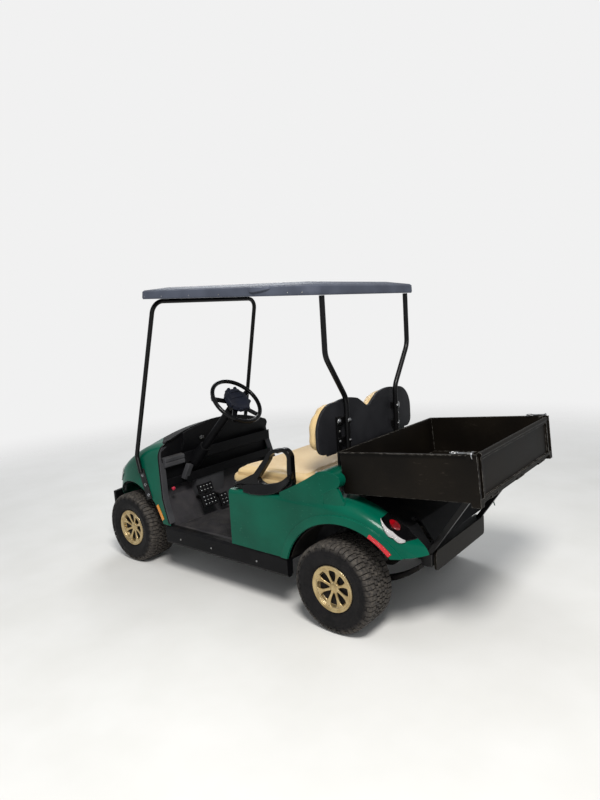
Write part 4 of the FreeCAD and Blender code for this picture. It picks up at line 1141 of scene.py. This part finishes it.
def pedal_pads():
    """The pedals' rubber faces with their raised ribs and bright studs."""
    studs, rubber = bmesh.new(), bmesh.new()
    for y, half, foot, head, rows, columns in PADS:
        low, high = at(foot[0], y, foot[1]), at(head[0], y, head[1])
        up = (high - low).normalized()
        out = Vector((-up.z, 0, up.x))
        turn = along_axes(up, (0, 1, 0), out)
        reach = Vector(((high - low).length / 2, half / 1000, 0.0035))
        centre = (low + high) / 2 + out * 0.003
        slab(rubber, centre, reach, 0.0025, 3, turn)
        for row in range(2 * rows + 1):
            rib = centre + up * (row - rows) * reach.x * 0.86 / rows + out * 0.0035
            slab(rubber, rib, Vector((0.0022, reach.y * 0.9, 0.0022)), 0.001, 1, turn)
        for row in range(rows):
            for column in range(columns):
                along = ((row + 0.5) / rows * 2 - 1) * reach.x * 0.86
                across = ((column + 0.5) / columns * 2 - 1) * reach.y * 0.9
                place = centre + up * along + Vector((0, across, 0)) + out * 0.0045
                dome(studs, place, out, 0.0058)
    piece(studs, "pedal_studs", "zinc", sharp=50)
    piece(rubber, "pedal_rubber", "black_plastic", sharp=30)


def canopy_parts():
    """The drip channel's outlet on each edge of the canopy and the screws along it."""
    shell = surface_of("canopy")
    bm = bmesh.new()
    rows = (
        # distance from the rear axle, top and bottom of the outlet, how far it stands out
        (478, 1706, 1694, 1), (466, 1712, 1684, 9), (440, 1712, 1681, 12), (390, 1708, 1684, 11),
        (350, 1704, 1688, 8), (326, 1700, 1692, 1),
    )
    sections = []
    for x, top, low, proud in rows:
        hit = touch(shell, at(x, 700, (top + low) / 2), (0, -1, 0))[0]
        y = hit.y * 1000 - 3 if hit is not None else 506
        out = y + proud
        ring = ((y, top), (out, top - 3), (out + 3, low + 4), (out, low), (y, low - 2))
        sections.append([(x, *point) for point in ring])
    loft_both(bm, sections)
    screws = bmesh.new()
    for sign in SIDES.values():
        for x in (1340, 1180, 940, 700, 220, 130):
            point, normal = touch(shell, at(x, sign * 700, 1672 + (x - 330) * 0.05), (0, -sign, 0))
            if point is not None:
                dome(screws, point, normal, 0.004)
    piece(bm, "canopy_outlets", "canopy_plastic", sharp=34)
    piece(screws, "canopy_screws", "zinc", sharp=50)


BOX_TILT = math.radians(4.4)
BOX_FOOT = (-32, 685)


def in_bed(x, y, z):
    """A point in the tilted cargo box, from millimetres as if the box lay level."""
    foot_x, foot_z = BOX_FOOT
    ahead, above = x - foot_x, z - foot_z
    return at(
        foot_x + ahead * math.cos(BOX_TILT) + above * math.sin(BOX_TILT), y,
        foot_z - ahead * math.sin(BOX_TILT) + above * math.cos(BOX_TILT),
    )


def box_latches():
    """A spring pin at each end of the tailgate, with its ring and its hook."""
    bm = bmesh.new()
    for sign in SIDES.values():
        start, end = in_bed(-640, sign * 478, 897), in_bed(-706, sign * 478, 897)
        sweep(bm, [start + (end - start) * t for t in (0, 0.5, 1)], 0.0045, 10)
        loop = [
            in_bed(-622 + 17 * math.cos(a), sign * (478 + 13 * math.sin(a)), 899)
            for a in (math.radians(30 * n) for n in range(12))
        ]
        sweep(bm, loop, 0.0028, 8)
        drop = [
            in_bed(-704, sign * (480 + dy), 897 + dz)
            for dy, dz in ((-14, 3), (-4, 6), (8, 4), (14, -6), (10, -18), (2, -22))
        ]
        sweep(bm, drop, 0.0028, 8)
    piece(bm, "tailgate_pins", "zinc", sharp=50)


def floor_mat():
    """A rubber mat with fine ribs, worn into the footwell."""
    rib_count, rib_pitch = 32, 0.0152
    bm = bmesh.new()
    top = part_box("floor")[0].z * 1000 + 8
    slab(bm, at(998.5, 0, top + 2), Vector((0.2635, 0.490, 0.002)), 0.0015)
    ribs = bmesh.new()
    slab(ribs, at(778, 0, top + 6), Vector((0.003, 0.460, 0.0025)), 0.0012, 1)
    geometry = whole_of(ribs)
    for number in range(1, rib_count):
        made = bmesh.ops.duplicate(ribs, geom=geometry)["geom"]
        bmesh.ops.translate(ribs, verts=verts_of(made), vec=(rib_pitch * number, 0, 0))
    piece(bm, "floor_mat", "floor_rubber", sharp=30)
    piece(ribs, "floor_mat_ribs", "floor_rubber", sharp=30)


def stage():
    """A pale floor that fades into the background, a soft world and two soft lights."""
    bm = bmesh.new()
    bmesh.ops.create_circle(bm, cap_ends=True, segments=64, radius=14)
    mesh = bpy.data.meshes.new("floor_plane")
    bm.to_mesh(mesh)
    bm.free()
    f = Finish("pale_floor")
    own = f.add("ShaderNodeTexCoord", "Object")
    radius = f.add("ShaderNodeVectorMath", "Value", {"operation": "LENGTH"}, {0: own})
    grain = f.noise(f.place(), 2.5, 3).between(0.2, 0.8)
    base = f.mix((222, 221, 218), (228, 227, 225), grain)
    shader = f.add(
        "ShaderNodeBsdfPrincipled", "BSDF", None,
        {"Base Color": base, "Roughness": 0.9, "Specular IOR Level": 0.1},
    )
    clear = f.add("ShaderNodeBsdfTransparent", "BSDF")
    edge = radius.between(2.2, 7.0)
    fade = f.add("ShaderNodeMixShader", "Shader", None, {0: edge, 1: shader, 2: clear})
    f.add("ShaderNodeOutputMaterial", None, None, {"Surface": fade})
    mesh.materials.append(f.material)
    floor = new_object("floor_plane", mesh)
    world = bpy.data.worlds.new("studio")
    world.use_nodes = True
    bpy.context.scene.world = world
    w = Finish("studio", world.node_tree)
    rays = w.add("ShaderNodeLightPath", None)
    shown = Value(w, rays.outputs["Is Camera Ray"])
    sky = {"Color": (0.94, 0.97, 1, 1), "Strength": 0.5}
    dim = w.add("ShaderNodeBackground", "Background", None, sky)
    backdrop = {"Color": (1, 1, 1, 1), "Strength": 0.88}
    pale = w.add("ShaderNodeBackground", "Background", None, backdrop)
    both = w.add("ShaderNodeMixShader", "Shader", None, {0: shown, 1: dim, 2: pale})
    w.add("ShaderNodeOutputWorld", None, None, {"Surface": both})
    soft_light("key", (-2.6, 2.6, 4.6), (0, 0, 0.6), 1.6, 260, (1, 0.985, 0.95))
    soft_light("rim", (2.8, -2.4, 3.4), (0, 0, 0.7), 2.2, 70, (0.96, 0.98, 1))
    bpy.context.scene.view_settings.view_transform = "Standard"


# Everything in its place

DRESSED = (
    # finish, angle above which an edge is sharp, the CAD nodes that show it
    ("green_body", 30, ("front_cowl", "rear_body")),
    ("floor_rubber", 30, ("floor",)),
    ("black_plastic", 30, ("rear_deck", "sills", "seat_pan")),
    ("black_plastic", 34, ("front_bumper",)),
    ("black_plastic", 40, ("steering_column",)),
    ("gloss_black", 34, ("steering_wheel", "tail_housings")),
    ("shell_grey", 34, ("seat_back_shell",)),
    ("canopy_plastic", 34, ("canopy",)),
    ("black_frame", 30, ("pedals", "frame", "bed_supports", "seat_back_bars")),
    ("black_frame", 40, ("front_strut_frame", "rear_struts")),
    ("running_gear", 40, ("rear_axle", "rear_suspension", "front_suspension")),
    ("running_gear", 40, ("steering_rack", "knuckle_left", "knuckle_right")),
    ("box_steel", 30, ("cargo_box",)),
    ("box_steel", 34, ("rear_bumper", "tailgate")),
    ("battery_case", 30, ("battery_pack",)),
    ("clear_lens", 34, ("head_lamps", "tail_lenses")),
    ("lamp_red", 34, ("tail_lamps",)),
    ("red_lens", 34, ("rear_reflectors",)),
    ("amber_lens", 34, ("front_reflectors",)),
)

photo_camera()
for finish, sharp, group in DRESSED:
    for node in group:
        dress(node, finish, sharp)
wheels()
cushions()
opening_trim()
cowl_top()
shell_flange()
dash_panel()
dash_mouldings()
dash_controls()
steering_pad()
wheel_wells()
hip_loops()
loop_flanges()
quarter_panels()
seat_valance()
canopy_parts()
box_latches()
fasteners()
pedal_pads()
floor_mat()
stage()
